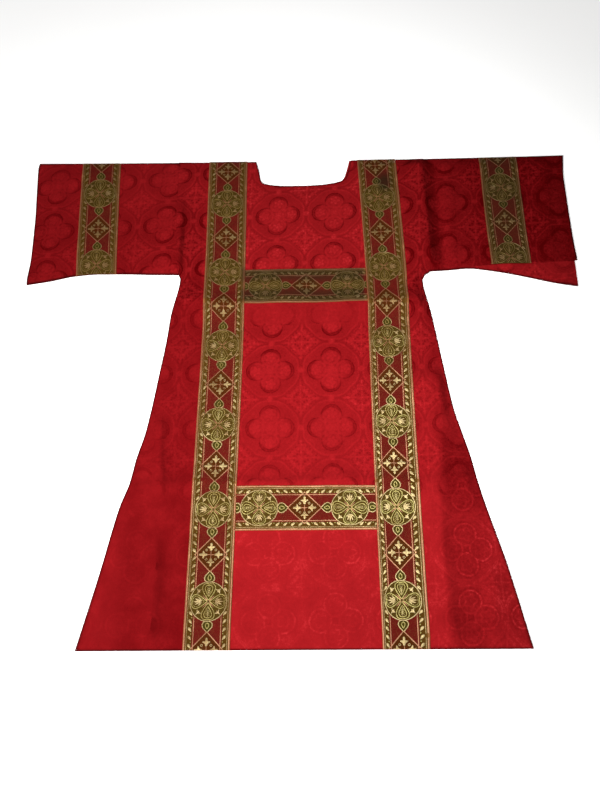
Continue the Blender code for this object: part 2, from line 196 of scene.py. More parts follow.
def bandInX(level, side):
    return side * (clavusCurve[side](level) - halfBand)


def neckX(level, side):
    return side * neckSideCurve[side]((shoulderY - level) / (shoulderY - neckY))


def neckLineY(level, x):
    # where the row through the neck's lower edge runs, level again where the bands begin
    corner = {side: neckX(neckY, side) for side in (-1, 1)}
    inside = neckLowCurve(np.clip(x, corner[-1], corner[1])) - layY(neckY, x)
    fadeLeft = smooth((x - bandInX(neckY, -1)) / (corner[-1] - bandInX(neckY, -1)))
    fadeRight = smooth((bandInX(neckY, 1) - x) / (bandInX(neckY, 1) - corner[1]))
    return layY(neckY, x) + inside * fadeLeft * fadeRight


def bodyY(level, x):
    upper = mix(layY(shoulderY, x), neckLineY(level, x), (shoulderY - level) / (shoulderY - neckY))
    lower = mix(neckLineY(level, x), layY(calmY, x), (neckY - level) / (neckY - calmY))
    return np.where(level >= neckY, upper, np.where(level > calmY, lower, layY(level, x)))


def outlinePoints():
    # the garment's whole edge in plan, from the hem round both sleeves and the neck
    points = []
    levels = np.linspace(hemY, underarmY, 70)
    outs = np.linspace(0.320, 0.672, 24)         # along a sleeve's lower edge
    for side in (1, -1):
        half = [(side * sideCurve[side](level), layY(level, side * sideCurve[side](level))) for level in levels]
        half += [(side * out, sleeveLowCurve[side](out)) for out in outs]
        low = sleeveLowCurve[side](0.680)
        for share in np.linspace(0, 1, 14):
            x = side * cuffCurve[side](share)
            half.append((x, mix(low, layY(shoulderY, x), share)))
        half += [(side * out, layY(shoulderY, side * out)) for out in (0.55, 0.42, 0.30, 0.20)]
        half += [(neckX(level, side), bodyY(level, neckX(level, side)))
                 for level in np.linspace(shoulderY, neckY, 10)]
        points += half if side > 0 else half[::-1]
        if side > 0:
            points += [(x, neckLowCurve(x)) for x in np.linspace(0.10, -0.09, 12)]
    return np.array([(float(x), float(y)) for x, y in points])


outline = outlinePoints()

# Folds and creases, each run from start to end, with the flank that falls away from the light on
# the right of the run. "port" is how far it reaches on the left, "starboard" on the right.
folds = [
    # x0, y0, x1, y1, height, port, starboard, fade, crest, wander
    (0.345, 0.1885, -0.352, 0.1905, 0.0128, 0.064, 0.118, 0.040, 0.005, 0.0040),
    (0.412, -0.2500, -0.422, -0.2660, 0.0078, 0.115, 0.050, 0.050, 0.006, 0.0040),
    (-0.3030, 0.2000, -0.3060, 0.5100, 0.0110, 0.085, 0.026, 0.090, 0.004, 0.0010),
    (-0.2940, 0.2000, -0.2940, 0.4300, -0.0062, 0.014, 0.034, 0.060, 0.004, 0.0012),
    (0.3150, 0.2150, 0.3060, 0.6600, 0.0205, 0.115, 0.064, 0.050, 0.004, 0.0006),
    (0.3480, 0.2350, 0.3450, 0.6600, -0.0052, 0.030, 0.024, 0.050, 0.004, 0.0010),
    (0.3670, 0.2500, 0.3560, 0.5700, 0.0066, 0.022, 0.080, 0.060, 0.006, 0.0030),
    (0.3750, 0.2400, 0.3700, 0.6600, 0.0058, 0.045, 0.420, 0.050, 0.010, 0.0000),
    (-0.3120, -0.3300, -0.3290, -0.0700, 0.0108, 0.044, 0.020, 0.080, 0.003, 0.0020),
    (-0.3350, -0.1150, -0.3200, -0.2700, -0.0022, 0.026, 0.026, 0.050, 0.006, 0.0020),
    (-0.3250, -0.6900, -0.3170, -0.3400, 0.0100, 0.040, 0.022, 0.100, 0.003, 0.0016),
    (-0.4640, -0.6600, -0.3910, -0.3000, 0.0058, 0.050, 0.056, 0.060, 0.006, 0.0020),
    (0.3135, -0.6600, 0.2955, -0.3650, 0.0134, 0.085, 0.092, 0.050, 0.003, 0.0008),
    (0.2940, -0.4350, 0.3220, 0.0400, 0.0122, 0.080, 0.095, 0.050, 0.003, 0.0008),
    (0.6120, 0.2700, 0.6320, 0.5900, 0.0042, 0.050, 0.042, 0.060, 0.012, 0.0030),
    (-0.6100, 0.2700, -0.6300, 0.5700, 0.0026, 0.045, 0.050, 0.080, 0.012, 0.0030),
    (-0.4050, 0.2900, -0.3950, 0.5600, 0.0024, 0.050, 0.045, 0.080, 0.012, 0.0030),
    (-0.0200, -0.6600, 0.0300, -0.3900, 0.0022, 0.090, 0.090, 0.120, 0.030, 0.0080),
    (0.3920, -0.6600, 0.4060, -0.4300, 0.0066, 0.050, 0.060, 0.070, 0.006, 0.0030),
    (0.3300, -0.2300, 0.2600, -0.2700, 0.0034, 0.030, 0.026, 0.030, 0.005, 0.0020),
    (-0.2600, -0.2250, -0.3950, -0.1900, 0.0022, 0.028, 0.022, 0.050, 0.008, 0.0030),
    (-0.3000, 0.2300, -0.2550, 0.0800, 0.0022, 0.030, 0.030, 0.060, 0.010, 0.0030),
    (0.2720, 0.0600, 0.2900, 0.2300, 0.0028, 0.028, 0.034, 0.060, 0.010, 0.0030),
    (0.5750, 0.3100, 0.6650, 0.4700, 0.0030, 0.030, 0.026, 0.050, 0.008, 0.0030),
    (0.6550, 0.5700, 0.5950, 0.4900, 0.0026, 0.028, 0.024, 0.040, 0.008, 0.0030),
    (0.4100, 0.5600, 0.4300, 0.3400, -0.0018, 0.030, 0.030, 0.060, 0.010, 0.0040),
    (-0.5800, 0.5700, -0.5730, 0.5200, 0.0018, 0.014, 0.014, 0.020, 0.005, 0.0010),
    (0.6000, 0.2650, 0.6720, 0.2520, 0.0030, 0.022, 0.022, 0.030, 0.008, 0.0030),
    (0.4200, -0.3300, 0.3600, -0.3050, 0.0020, 0.022, 0.022, 0.030, 0.008, 0.0030),
]


foldShape = {
    "pressed": (0.10, 0.36),     # how much of the height is a pressed crest, on the light and on the dark side
    "crestReach": 0.28,          # the crest's reach, as a share of the flank's
    "flankPower": 1.25,
    "crestPower": 1.5,
    "unevenness": 0.14,
}


def foldHeights(x, y):
    raised, sunk = np.zeros(np.shape(x)), np.zeros(np.shape(x))
    for number, (x0, y0, x1, y1, height, port, starboard, fade, crest, wander) in enumerate(folds):
        run = math.hypot(x1 - x0, y1 - y0)
        alongX, alongY = (x1 - x0) / run, (y1 - y0) / run
        along = (x - x0) * alongX + (y - y0) * alongY
        across = (y - y0) * alongX - (x - x0) * alongY
        across = across + wander * np.sin(along * 21 + number) + 0.4 * wander * np.sin(along * 57 + 2 * number)
        reach = np.where(across > 0, port, starboard)
        pressed = np.where(across > 0, *foldShape["pressed"])
        away = np.sqrt(across * across + crest * crest) - crest
        # a long soft flank, and on the dark side a pressed crest on top of it
        slope = (1 - pressed) * np.clip(1 - away / reach, 0, 1) ** foldShape["flankPower"]
        slope = slope + pressed * np.clip(1 - away / (foldShape["crestReach"] * reach), 0, 1) ** foldShape["crestPower"]
        end = smooth(np.clip(np.minimum(along, run - along) / fade, 0, 1))
        uneven = np.sin(along * 13 + 1.7 * number) + 0.5 * np.sin(along * 37 + number)
        uneven = 1 + foldShape["unevenness"] * uneven
        amount = abs(height) * slope * end * uneven
        if height > 0:
            raised = raised + amount ** 3
        else:
            sunk = sunk + amount
    return np.cbrt(raised) - sunk


def edgeShadeShare(x, y):
    # where the painted edge shade falls: 1 at the garment's turned edge, nothing a few millimetres in
    return np.clip(1 - distanceTo(x, y, outline, np.roll(outline, -1, axis=0)) / cloth["edgeShadeReach"], 0, 1)


def frontHeight(x, y):
    # the front cloth's underside
    away = distanceTo(x, y, outline, np.roll(outline, -1, axis=0))
    puff = 1 - (1 - np.clip(away / cloth["puffReach"], 0, 1)) ** 2
    hold = smooth(away / cloth["calmRim"])
    wave = sum(strength * ripple(x, y, size, seed) for size, seed, strength in cloth["waves"])
    rest = cloth["thickness"] + cloth["gap"]
    lift = cloth["puff"] * puff + (foldHeights(x, y) + cloth["waviness"] * wave * puff) * hold
    # it never sinks into the back
    return rest + np.maximum(lift, 0)


# Helpers for the meshes
def neighbours(filled, dRow, dCol):
    # for each cell, whether the one beside it is filled
    return np.pad(filled, 1)[1 + dRow:1 + dRow + filled.shape[0], 1 + dCol:1 + dCol + filled.shape[1]]


def borderSegments(grid, filled):
    # the open sides of the filled cells, as segments in plan
    sides = []
    for dRow, dCol, a, b in ((-1, 0, (0, 0), (0, 1)), (1, 0, (1, 0), (1, 1)),
                             (0, -1, (0, 0), (1, 0)), (0, 1, (0, 1), (1, 1))):
        rows, cols = np.nonzero(filled & ~neighbours(filled, dRow, dCol))
        sides.append(np.stack([grid[rows + a[0], cols + a[1], :2], grid[rows + b[0], cols + b[1], :2]], 1))
    sides = np.concatenate(sides)
    return sides[:, 0], sides[:, 1]


def edgeDrop(away, radius):
    return radius - np.sqrt(np.maximum(radius ** 2 - (radius - np.minimum(away, radius)) ** 2, 0))


def roundEdges(outer, filled, radius, way=1.0):
    # rolls the outer skin down to the wall along every open side
    near = np.zeros(outer.shape[:2], bool)
    padded = np.pad(filled, 1)
    full = padded[:-1, :-1] & padded[1:, :-1] & padded[:-1, 1:] & padded[1:, 1:]
    edge = ~full
    for _ in range(5):
        near |= edge
        grown = np.pad(edge, 1)
        edge = grown[:-2, 1:-1] | grown[2:, 1:-1] | grown[1:-1, :-2] | grown[1:-1, 2:] | edge
    starts, ends = borderSegments(outer, filled)
    away = distanceTo(outer[..., 0][near], outer[..., 1][near], starts, ends)
    outer[..., 2][near] -= way * edgeDrop(away, np.broadcast_to(radius, near.shape)[near])


def makeShell(name, outer, inner, filled, uv, uvName, rim=None):
    # a closed wall of quads between two grids of points; rim is how near its cut edge each point is, for the painted
    # edge shade
    rows, cols = outer.shape[:2]
    used = np.zeros((rows, cols), bool)
    r, c = np.nonzero(filled)
    for dRow, dCol in ((0, 0), (1, 0), (0, 1), (1, 1)):
        used[r + dRow, c + dCol] = True
    index = np.full((rows, cols), -1)
    index[used] = np.arange(used.sum())
    count = int(used.sum())
    points = np.concatenate([outer[used], inner[used]])
    flatUv = np.concatenate([uv[used], uv[used]])
    corner = [index[r, c], index[r + 1, c], index[r + 1, c + 1], index[r, c + 1]]
    quads = [np.stack(corner, 1), np.stack(corner[::-1], 1) + count]
    for dRow, dCol, a, b in ((0, -1, 0, 1), (1, 0, 1, 2), (0, 1, 2, 3), (-1, 0, 3, 0)):
        openSide = ~neighbours(filled, dRow, dCol)[r, c]
        start, end = corner[a][openSide], corner[b][openSide]
        quads.append(np.stack([end, start, start + count, end + count], 1))
    quads = np.concatenate(quads)
    mesh = bpy.data.meshes.new(name)
    mesh.from_pydata(points.tolist(), [], quads.tolist())
    layer = mesh.uv_layers.new(name=uvName)
    loops = np.empty(len(mesh.loops), np.int32)
    mesh.loops.foreach_get("vertex_index", loops)
    layer.uv.foreach_set("vector", flatUv[loops].astype(np.float32).ravel())
    # how near the cut edge each point is, read by the damask's painted edge shade
    if rim is not None:
        shade = mesh.attributes.new("rim", "FLOAT", "POINT")
        shade.data.foreach_set("value", np.tile(rim[used], 2).astype(np.float32))
    if mesh.polygons[0].normal.z < 0 and outer[r[0], c[0], 2] > inner[r[0], c[0], 2]:
        mesh.flip_normals()
    mesh.shade_smooth()
    mesh.set_sharp_from_angle(angle=math.radians(50))
    piece = bpy.data.objects.new(name, mesh)
    scene.collection.objects.link(piece)
    return piece


def spaced(stops, step, fine=fineCells):
    # positions from the first stop to the last, with close ones beside the stops marked as edges
    places = []
    for (start, startEdge), (end, endEdge) in zip(stops, stops[1:]):
        way = 1 if end > start else -1
        low = start + way * fine[-1] if startEdge else start
        high = end - way * fine[-1] if endEdge else end
        places.append(start)
        if startEdge:
            places += [start + way * d for d in fine]
        number = max(1, round(abs(high - low) / step))
        places += [mix(low, high, i / number) for i in range(1, number)]
        if endEdge:
            places += [end - way * d for d in fine[::-1]]
    places.append(stops[-1][0])
    return np.array(places)


# Front and back
def bodyPlan(step, neckIn=0.0):
    levels = spaced([(shoulderY, True), (neckY, True), (hemY, True)], step)[:, None]
    # the same columns at each level: a share between two rails, and a shift beside an edge
    kinds = ("side", "bandOut", "bandIn", "neck")
    rails = [(-1, kind) for kind in kinds] + [(1, kind) for kind in kinds[::-1]]
    strips = [
        # rough width between two rails, and whether close columns stand beside its left and right one
        (0.130, True, False),
        (0.099, False, False),
        (0.040, False, True),
        (0.205, True, True),
        (0.040, True, False),
        (0.099, False, False),
        (0.130, False, True),
    ]

    def railX(side, kind):
        if kind == "side":
            return side * sideCurve[side](levels)
        if kind == "neck":
            return neckX(np.maximum(levels, neckY), side) - side * neckIn * (side > 0)
        return side * (clavusCurve[side](levels) + (halfBand if kind == "bandOut" else -halfBand))

    railsX = [railX(*rail) for rail in rails]
    columns, railAt = [], []
    for left, right, (width, startEdge, endEdge) in zip(railsX, railsX[1:], strips):
        railAt.append(len(columns))
        columns.append(left)
        if startEdge:
            columns += [left + d for d in fineCells]
        low, high = left + fineCells[-1] * startEdge, right - fineCells[-1] * endEdge
        cells = max(1, round(width / step))
        columns += [mix(low, high, i / cells) for i in range(1, cells)]
        if endEdge:
            columns += [right - d for d in fineCells[::-1]]
    columns.append(railsX[-1])
    x = np.concatenate(columns, 1)
    y = bodyY(levels + 0 * x, x)
    filled = np.ones((x.shape[0] - 1, x.shape[1] - 1), bool)
    neckRow = int(np.argmin(abs(levels[:, 0] - neckY)))
    neckFirst = rails.index((-1, "neck"))
    filled[:neckRow, railAt[neckFirst]:railAt[neckFirst + 1]] = False
    return x, y, filled


repeat = {
    "size": 0.1425,
    "centre": (-0.0775, 0.0109),
    "lean": 0.039,           # the cloth was cut a little off its grain, more so towards the shoulders
    "tilt": 0.026,
    "tiltGrowth": 0.105,
}


def clothUv(x, y):
    across, up = x - repeat["centre"][0], y - repeat["centre"][1]
    lean = repeat["lean"] * np.clip(up, 0, 0.6)
    tilt = repeat["tilt"] + repeat["tiltGrowth"] * np.clip(up, -0.1, 0.6)
    return np.stack([across - lean, up - tilt * x], -1) / repeat["size"]


def makeFront():
    x, y, filled = bodyPlan(cloth["step"])
    under = frontHeight(x, y)
    inner = np.stack([x, y, under], -1)
    outer = np.stack([x, y, under + cloth["thickness"]], -1)
    sewn = (y > underarmY + 0.01) & (abs(x) > 0.29)
    roundEdges(outer, filled, np.where(sewn, cloth["seamRadius"], cloth["edgeRadius"]))
    return makeShell("frontPanel", outer, inner, filled, clothUv(x, y), "cloth", edgeShadeShare(x, y))


back = {
    "step": 0.012,
    "neckIn": 0.004,         # its neck is cut this much narrower on the +X side
    "topRadius": 0.0007,
    "underRadius": 0.0008,
}


def makeBack():
    x, y, filled = bodyPlan(back["step"], back["neckIn"])
    top = np.stack([x, y, np.full(x.shape, cloth["thickness"])], -1)
    under = np.stack([x, y, np.zeros(x.shape)], -1)
    roundEdges(top, filled, back["topRadius"])
    roundEdges(under, filled, back["underRadius"], -1.0)
    return makeShell("backPanel", top, under, filled, clothUv(x, y), "cloth")


# Sleeves
sleeve = {
    "length": 0.36,
    "depth": 0.33,
    "cutFrom": {-1: (0.003, -0.008), 1: (0.0, 0.0)},     # each one's own place on the cloth
    "armholeGap": 0.00008,
    "turnSteps": 8,
    "backRows": 34,
    "backPull": 0.008,       # how far the rolled sleeve's back has slid in from the cuff
    "stripStep": 0.0036,     # rows of the rolled strip under the seam, about stripDepth deep
    "stripDepth": 0.03,
    "sewnTo": 0.335,
}


def sleeveX(share, across, side):
    # across runs from the armhole (0) to the cuff (1)
    start = side * (sideCurve[side](mix(underarmY, shoulderY, share)) + sleeve["armholeGap"])
    return mix(start, side * cuffCurve[side](share), across)


def sleeveFrontXY(share, across, side):
    x = sleeveX(share, across, side)
    low = seamCurve(abs(x)) if side > 0 else sleeveLowCurve[side](abs(x))
    return x, mix(low, layY(shoulderY, x) - foldRadius, share)


def makeSleeve(name, side):
    length, depth, stripDepth = sleeve["length"], sleeve["depth"], sleeve["stripDepth"]
    across = spaced([(0.0, True), (1.0, True)], cloth["step"] / length, fineCells / length)[None]
    shares = spaced([(0.0, True), (1.0, False)], cloth["step"] / depth, fineCells / depth)[:, None]
    outer, inner = [], []

    def addFront(x, y):
        under = frontHeight(x, y)
        outer.append(np.stack([x, y, under + cloth["thickness"]], -1))
        inner.append(np.stack([x, y, under], -1))

    def addTurn(x, y, way):
        # half a turn round the shoulder fold (way 1) or the lower one (way -1)
        for angle in np.linspace(0, math.pi, sleeve["turnSteps"] + 1)[1:-1]:
            for skin, radius in ((outer, foldRadius), (inner, cloth["gap"] / 2)):
                skin.append(np.stack([x, y + way * radius * math.sin(angle),
                                      foldRadius + way * radius * math.cos(angle) + 0 * x], -1))

    x, y = sleeveFrontXY(shares, across, side)
    addFront(x, y)
    addTurn(x[-1:], y[-1:], 1)
    backShares = np.linspace(1, 0, sleeve["backRows"])[:, None]
    x = sleeveX(backShares, across, side)
    if side > 0:
        x = x - sleeve["backPull"] * (1 - backShares) ** 2 * across
    low = sleeveLowCurve[side](abs(x)) + (foldRadius if side > 0 else 0)
    y = mix(low, layY(shoulderY, x) - foldRadius, backShares)
    outer.append(np.stack([x, y, 0 * x], -1))
    inner.append(np.stack([x, y, 0 * x + cloth["thickness"]], -1))
    if side > 0:
        # the rolled sleeve's back comes round the lower fold, up to the seam
        lowX, lowY = x[-1:], y[-1:]
        addTurn(lowX, lowY, -1)
        seamY = sleeveFrontXY(np.zeros((1, 1)), across, side)[1] - cloth["gap"]
        stripShares = spaced([(0.0, False), (1.0, True)], sleeve["stripStep"] / stripDepth, fineCells / stripDepth)
        for share in stripShares:
            addFront(lowX, mix(lowY, seamY, share))
    outer, inner = np.concatenate(outer), np.concatenate(inner)
    filled = np.ones((outer.shape[0] - 1, outer.shape[1] - 1), bool)
    roundSleeve(outer[:len(shares)])
    if side > 0:
        strip = outer[-len(stripShares):]
        ends = strip[-1, :, :2]
        strip[..., 2] -= edgeDrop(distanceTo(strip[..., 0], strip[..., 1], ends[:-1], ends[1:]), cloth["edgeRadius"])
    shiftX, shiftY = sleeve["cutFrom"][side]
    uv = clothUv(outer[..., 0] - shiftX, outer[..., 1] - shiftY)
    return makeShell(name, outer, inner, filled, uv, "cloth", edgeShadeShare(outer[..., 0], outer[..., 1]))


def roundSleeve(part):
    # the armhole, the seam end and the cuff roll down, the shoulder fold doesn't
    rims = [part[:, 0, :2], part[:, -1, :2], part[0, :, :2]]
    starts = np.concatenate([rim[:-1] for rim in rims])
    ends = np.concatenate([rim[1:] for rim in rims])
    near = np.zeros(part.shape[:2], bool)
    near[:6] = near[:, :6] = near[:, -6:] = True
    away = distanceTo(part[..., 0][near], part[..., 1][near], starts, ends)
    sewn = abs(part[..., 0][near]) < sleeve["sewnTo"]
    part[..., 2][near] -= edgeDrop(away, np.where(sewn, cloth["seamRadius"], cloth["edgeRadius"]))


# Bands
band = {
    "width": 0.0990,
    "thickness": 0.0012,
    "edgeRadius": 0.0009,
    "step": 0.0032,
    "endGap": 0.0002,
    # where each one's first medallion is, and how far apart its medallions are
    "pattern": {"clavus_left": (0.4706, 0.1976), "clavus_right": (0.4817, 0.1998), "crossbar_upper": (-0.0905, 0.2000),
                "crossbar_lower": (-0.0990, 0.2000), "sleeve_band_left": (0.5010, 0.2080),
                "sleeve_band_right": (0.5135, 0.2040)},
    "crossbar_upper": (0.2790, 0.1830),      # upper and lower edge
    "crossbar_lower": (-0.2685, -0.3672),
}


def makeBand(name, x, y, along, shift=0.0):
    # x and y are grids, a row for each place along the band; along is the place in repeats
    under = frontHeight(x, y) + cloth["thickness"] + cloth["gap"]
    inner = np.stack([x, y, under], -1)
    outer = np.stack([x, y, under + band["thickness"]], -1)
    filled = np.ones((x.shape[0] - 1, x.shape[1] - 1), bool)
    roundEdges(outer, filled, band["edgeRadius"])
    across = np.broadcast_to(bandAcross + 0.5 - shift * (1 - 4 * bandAcross ** 2), x.shape)
    uv = np.stack([across, np.broadcast_to(along[:, None], x.shape)], -1)
    return makeShell(name, outer, inner, filled, uv, "galloon")


bandFine = np.array((0.0003, 0.0007, 0.0013))
bandAcross = spaced([(-0.5, True), (0.5, True)], band["step"] / band["width"], bandFine / band["width"])[None]


def makeClavus(name, side, firstCentre, pitch):
    levels = spaced([(shoulderY - band["endGap"], True), (hemY + band["endGap"], True)], band["step"], bandFine)
    x = side * (clavusCurve[side](levels[:, None]) + 0 * bandAcross) + bandAcross * band["width"]
    y = bodyY(levels[:, None] + 0 * x, x)
    return makeBand(name, x, y, (firstCentre - levels) / pitch, -0.022 - 0.022 * side)


def makeCrossbar(name, top, bottom, firstCentre, pitch):
    # runs across the breast, its ends against the long bands
    level = mix(top, bottom, bandAcross + 0.5)
    left, right = bandInX(level, -1) + cloth["gap"], bandInX(level, 1) - cloth["gap"]
    share = spaced([(0.0, True), (1.0, True)], band["step"] / 0.30, bandFine / 0.30)[:, None]
    x = mix(left, right, share)
    y = bodyY(level + 0 * x, x)
    return makeBand(name, x, y, (x.mean(1) - firstCentre) / pitch)


def makeSleeveBand(name, side, firstCentre, pitch):
    share = spaced([(0.0, True), (1.0, True)], band["step"] / 0.33, bandFine / 0.33)[::-1][:, None]
    centre = side * sleeveBandCurve[side](share)
    x = centre + bandAcross * band["width"]
    low = seamCurve(abs(x)) if side > 0 else sleeveLowCurve[side](abs(x))
    y = mix(low, layY(shoulderY, x) - foldRadius, share)
    return makeBand(name, x, y, (firstCentre - y.mean(1)) / pitch)


panels = {
    "front": makeFront(),
    "back": makeBack(),
    "sleeve_left": makeSleeve("sleevePanelLeft", -1),
    "sleeve_right": makeSleeve("sleevePanelRight", 1),
}
print("panels made", {k: len(v.data.polygons) * 2 for k, v in panels.items()})
pattern = band["pattern"]
bands = {
    "clavus_left": makeClavus("clavusBandLeft", -1, *pattern["clavus_left"]),
    "clavus_right": makeClavus("clavusBandRight", 1, *pattern["clavus_right"]),
    "crossbar_upper": makeCrossbar("crossbarBandUpper", *band["crossbar_upper"], *pattern["crossbar_upper"]),
    "crossbar_lower": makeCrossbar("crossbarBandLower", *band["crossbar_lower"], *pattern["crossbar_lower"]),
    "sleeve_band_left": makeSleeveBand("sleeveBandLeft", -1, *pattern["sleeve_band_left"]),
    "sleeve_band_right": makeSleeveBand("sleeveBandRight", 1, *pattern["sleeve_band_right"]),
}
print("bands made", {k: len(v.data.polygons) * 2 for k, v in bands.items()})


# Shader maths
def addNode(tree, kind, inputs=(), **settings):
    # inputs maps a socket's name or number to a value, or to another node's output
    node = tree.nodes.new(kind)
    for key, value in settings.items():
        setattr(node, key, value)
    for key, value in dict(inputs).items():
        value = value.socket if isinstance(value, Value) else value
        if isinstance(value, bpy.types.NodeSocket):
            tree.links.new(value, node.inputs[key])
        else:
            node.inputs[key].default_value = value
    return node


class Value:
    # a number in a material's node tree, so that patterns can be written as sums
    def __init__(self, tree, socket):
        self.tree, self.socket = tree, socket

    def op(self, kind, *others, clamp=False):
        node = addNode(self.tree, "ShaderNodeMath", enumerate((self, *others)), operation=kind, use_clamp=clamp)
        return Value(self.tree, node.outputs[0])

    def __add__(self, other):
        return self.op("ADD", other)

    def __sub__(self, other):
        return self.op("SUBTRACT", other)

    def __mul__(self, other):
        return self.op("MULTIPLY", other)

    def __truediv__(self, other):
        return self.op("DIVIDE", other)

    def __rsub__(self, other):
        return self * -1.0 + other

    __radd__ = __add__
    __rmul__ = __mul__

    def __neg__(self):
        return self * -1.0

    def __abs__(self):
        return self.op("ABSOLUTE")

    def below(self, edge, soft):
        # 1 under the edge and 0 over it
        limits = {"From Min": edge - soft, "From Max": edge + soft, "To Min": 1.0, "To Max": 0.0}
        node = addNode(self.tree, "ShaderNodeMapRange", {"Value": self, **limits}, interpolation_type="SMOOTHSTEP")
        return Value(self.tree, node.outputs["Result"])

    def above(self, edge, soft):
        return (-self).below(-edge, soft)

    def line(self, centre, half, soft):
        return abs(self - centre).below(half, soft)


def least(a, b):
    return a.op("MINIMUM", b)


def most(a, b):
    return a.op("MAXIMUM", b)


def away(x, y, centreX=0.0, centreY=0.0):
    dx, dy = x - centreX, y - centreY
    return (dx * dx + dy * dy).op("SQRT")


def parts(tree, vector):
    split = addNode(tree, "ShaderNodeSeparateXYZ", {0: vector})
    return Value(tree, split.outputs[0]), Value(tree, split.outputs[1])


def startMaterial(name, uvName):
    material = bpy.data.materials.new(name)
    material.use_nodes = True
    tree = material.node_tree
    u, v = parts(tree, addNode(tree, "ShaderNodeUVMap", uv_map=uvName).outputs["UV"])
    return material, tree, u, v, addNode(tree, "ShaderNodeTexCoord").outputs["Object"]


def finishMaterial(tree, colour, rough, normal, fixed):
    # fixed holds what is the same all over, by the shader's own names
    shader = tree.nodes["Principled BSDF"]
    tree.links.new(colour, shader.inputs["Base Color"])
    tree.links.new(rough.socket, shader.inputs["Roughness"])
    tree.links.new(normal, shader.inputs["Normal"])
    for name, value in fixed.items():
        shader.inputs[name].default_value = value


def noiseValue(tree, vector, scale, detail=3.0, roughness=0.55):
    node = addNode(tree, "ShaderNodeTexNoise", {"Scale": scale, "Detail": detail, "Roughness": roughness,
                                                "Vector": vector})
    return Value(tree, node.outputs["Fac"])


def waveValue(tree, vector, scale, direction="X", distortion=0.0):
    node = addNode(tree, "ShaderNodeTexWave", {"Scale": scale, "Distortion": distortion, "Vector": vector},
                   bands_direction=direction)
    return Value(tree, node.outputs["Fac"])


def blend(tree, amount, first, second):
    # first and second are colours or colour sockets
    first, second = (item if isinstance(item, bpy.types.NodeSocket) else (*item, 1.0) for item in (first, second))
    return addNode(tree, "ShaderNodeMix", {"Factor": amount, 6: first, 7: second}, data_type="RGBA").outputs[2]


def bump(tree, height, distance, strength):
    node = addNode(tree, "ShaderNodeBump", {"Distance": distance, "Strength": strength, "Height": height})
    return node.outputs["Normal"]


# Damask
damask = {
    "bright": (0.322, 0.0104, 0.0130),
    "dark": (0.060, 0.0005, 0.0010),
    # the paler shine on the lightest parts is a painted highlight
    "shine": (0.400, 0.0260, 0.0300),
    # painted shade along the turned edges
    "edge": (0.022, 0.0012, 0.0012),
    # sizes of the woven figure, in repeats
    "soft": 0.011,
    "lobeAt": 0.225,
    "lobe": 0.174,
    "frame": 0.489,
    "diamond": 0.322,
    "flowerAt": 0.235,
    "flower": (0.062, 0.020, 5.0),       # radius, depth of the petals and their number
    # how much lighter each part of the figure is, on the breast and on the skirt, and how far it stands up; breast and
    # skirt are two painted copies of one figure, lit differently
    "breastTones": {"insideLobe": 0.31, "lobeLine": -0.20, "lobeRing": -0.20, "flower": 0.14, "flowerLine": -0.26,
                    "seed": -0.16, "centre": 0.10, "centreDots": -0.26, "ring": 0.08, "frameDark": -0.10,
                    "outside": 0.10, "sprig": 0.20, "gaps": -0.38, "knot": 0.30},
    "skirtTones": {"insideLobe": -0.08, "crescent": -0.05, "lobeShade": -0.14, "frameLine": 0.20, "frameLight": 0.16,
                   "flowerLine": 0.16, "sprig": 0.12, "gaps": -0.12},
    "heights": {"insideLobe": 0.5, "crescent": -0.7, "sprig": 0.5, "frameLine": -0.5, "gaps": -0.4},
}


def spots(x, y, *places):
    # soft dots of given radius, mirrored over the diagonal
    total = None
    for centreX, centreY, radius in places:
        dot = away(x, y, centreX, centreY).below(radius, damask["soft"])
        if centreX != centreY:
            dot = most(dot, away(x, y, centreY, centreX).below(radius, damask["soft"]))
        total = dot if total is None else most(total, dot)
    return total


def rosette(x, y, radius, wave, petals):
    angle = y.op("ARCTAN2", x)
    return away(x, y) - (angle * petals).op("COSINE") * wave - radius


def toned(masks, tones, start):
    # adds up the figure's parts, each with its own weight
    for name, tone in tones.items():
        start = masks[name] * tone + start
    return start


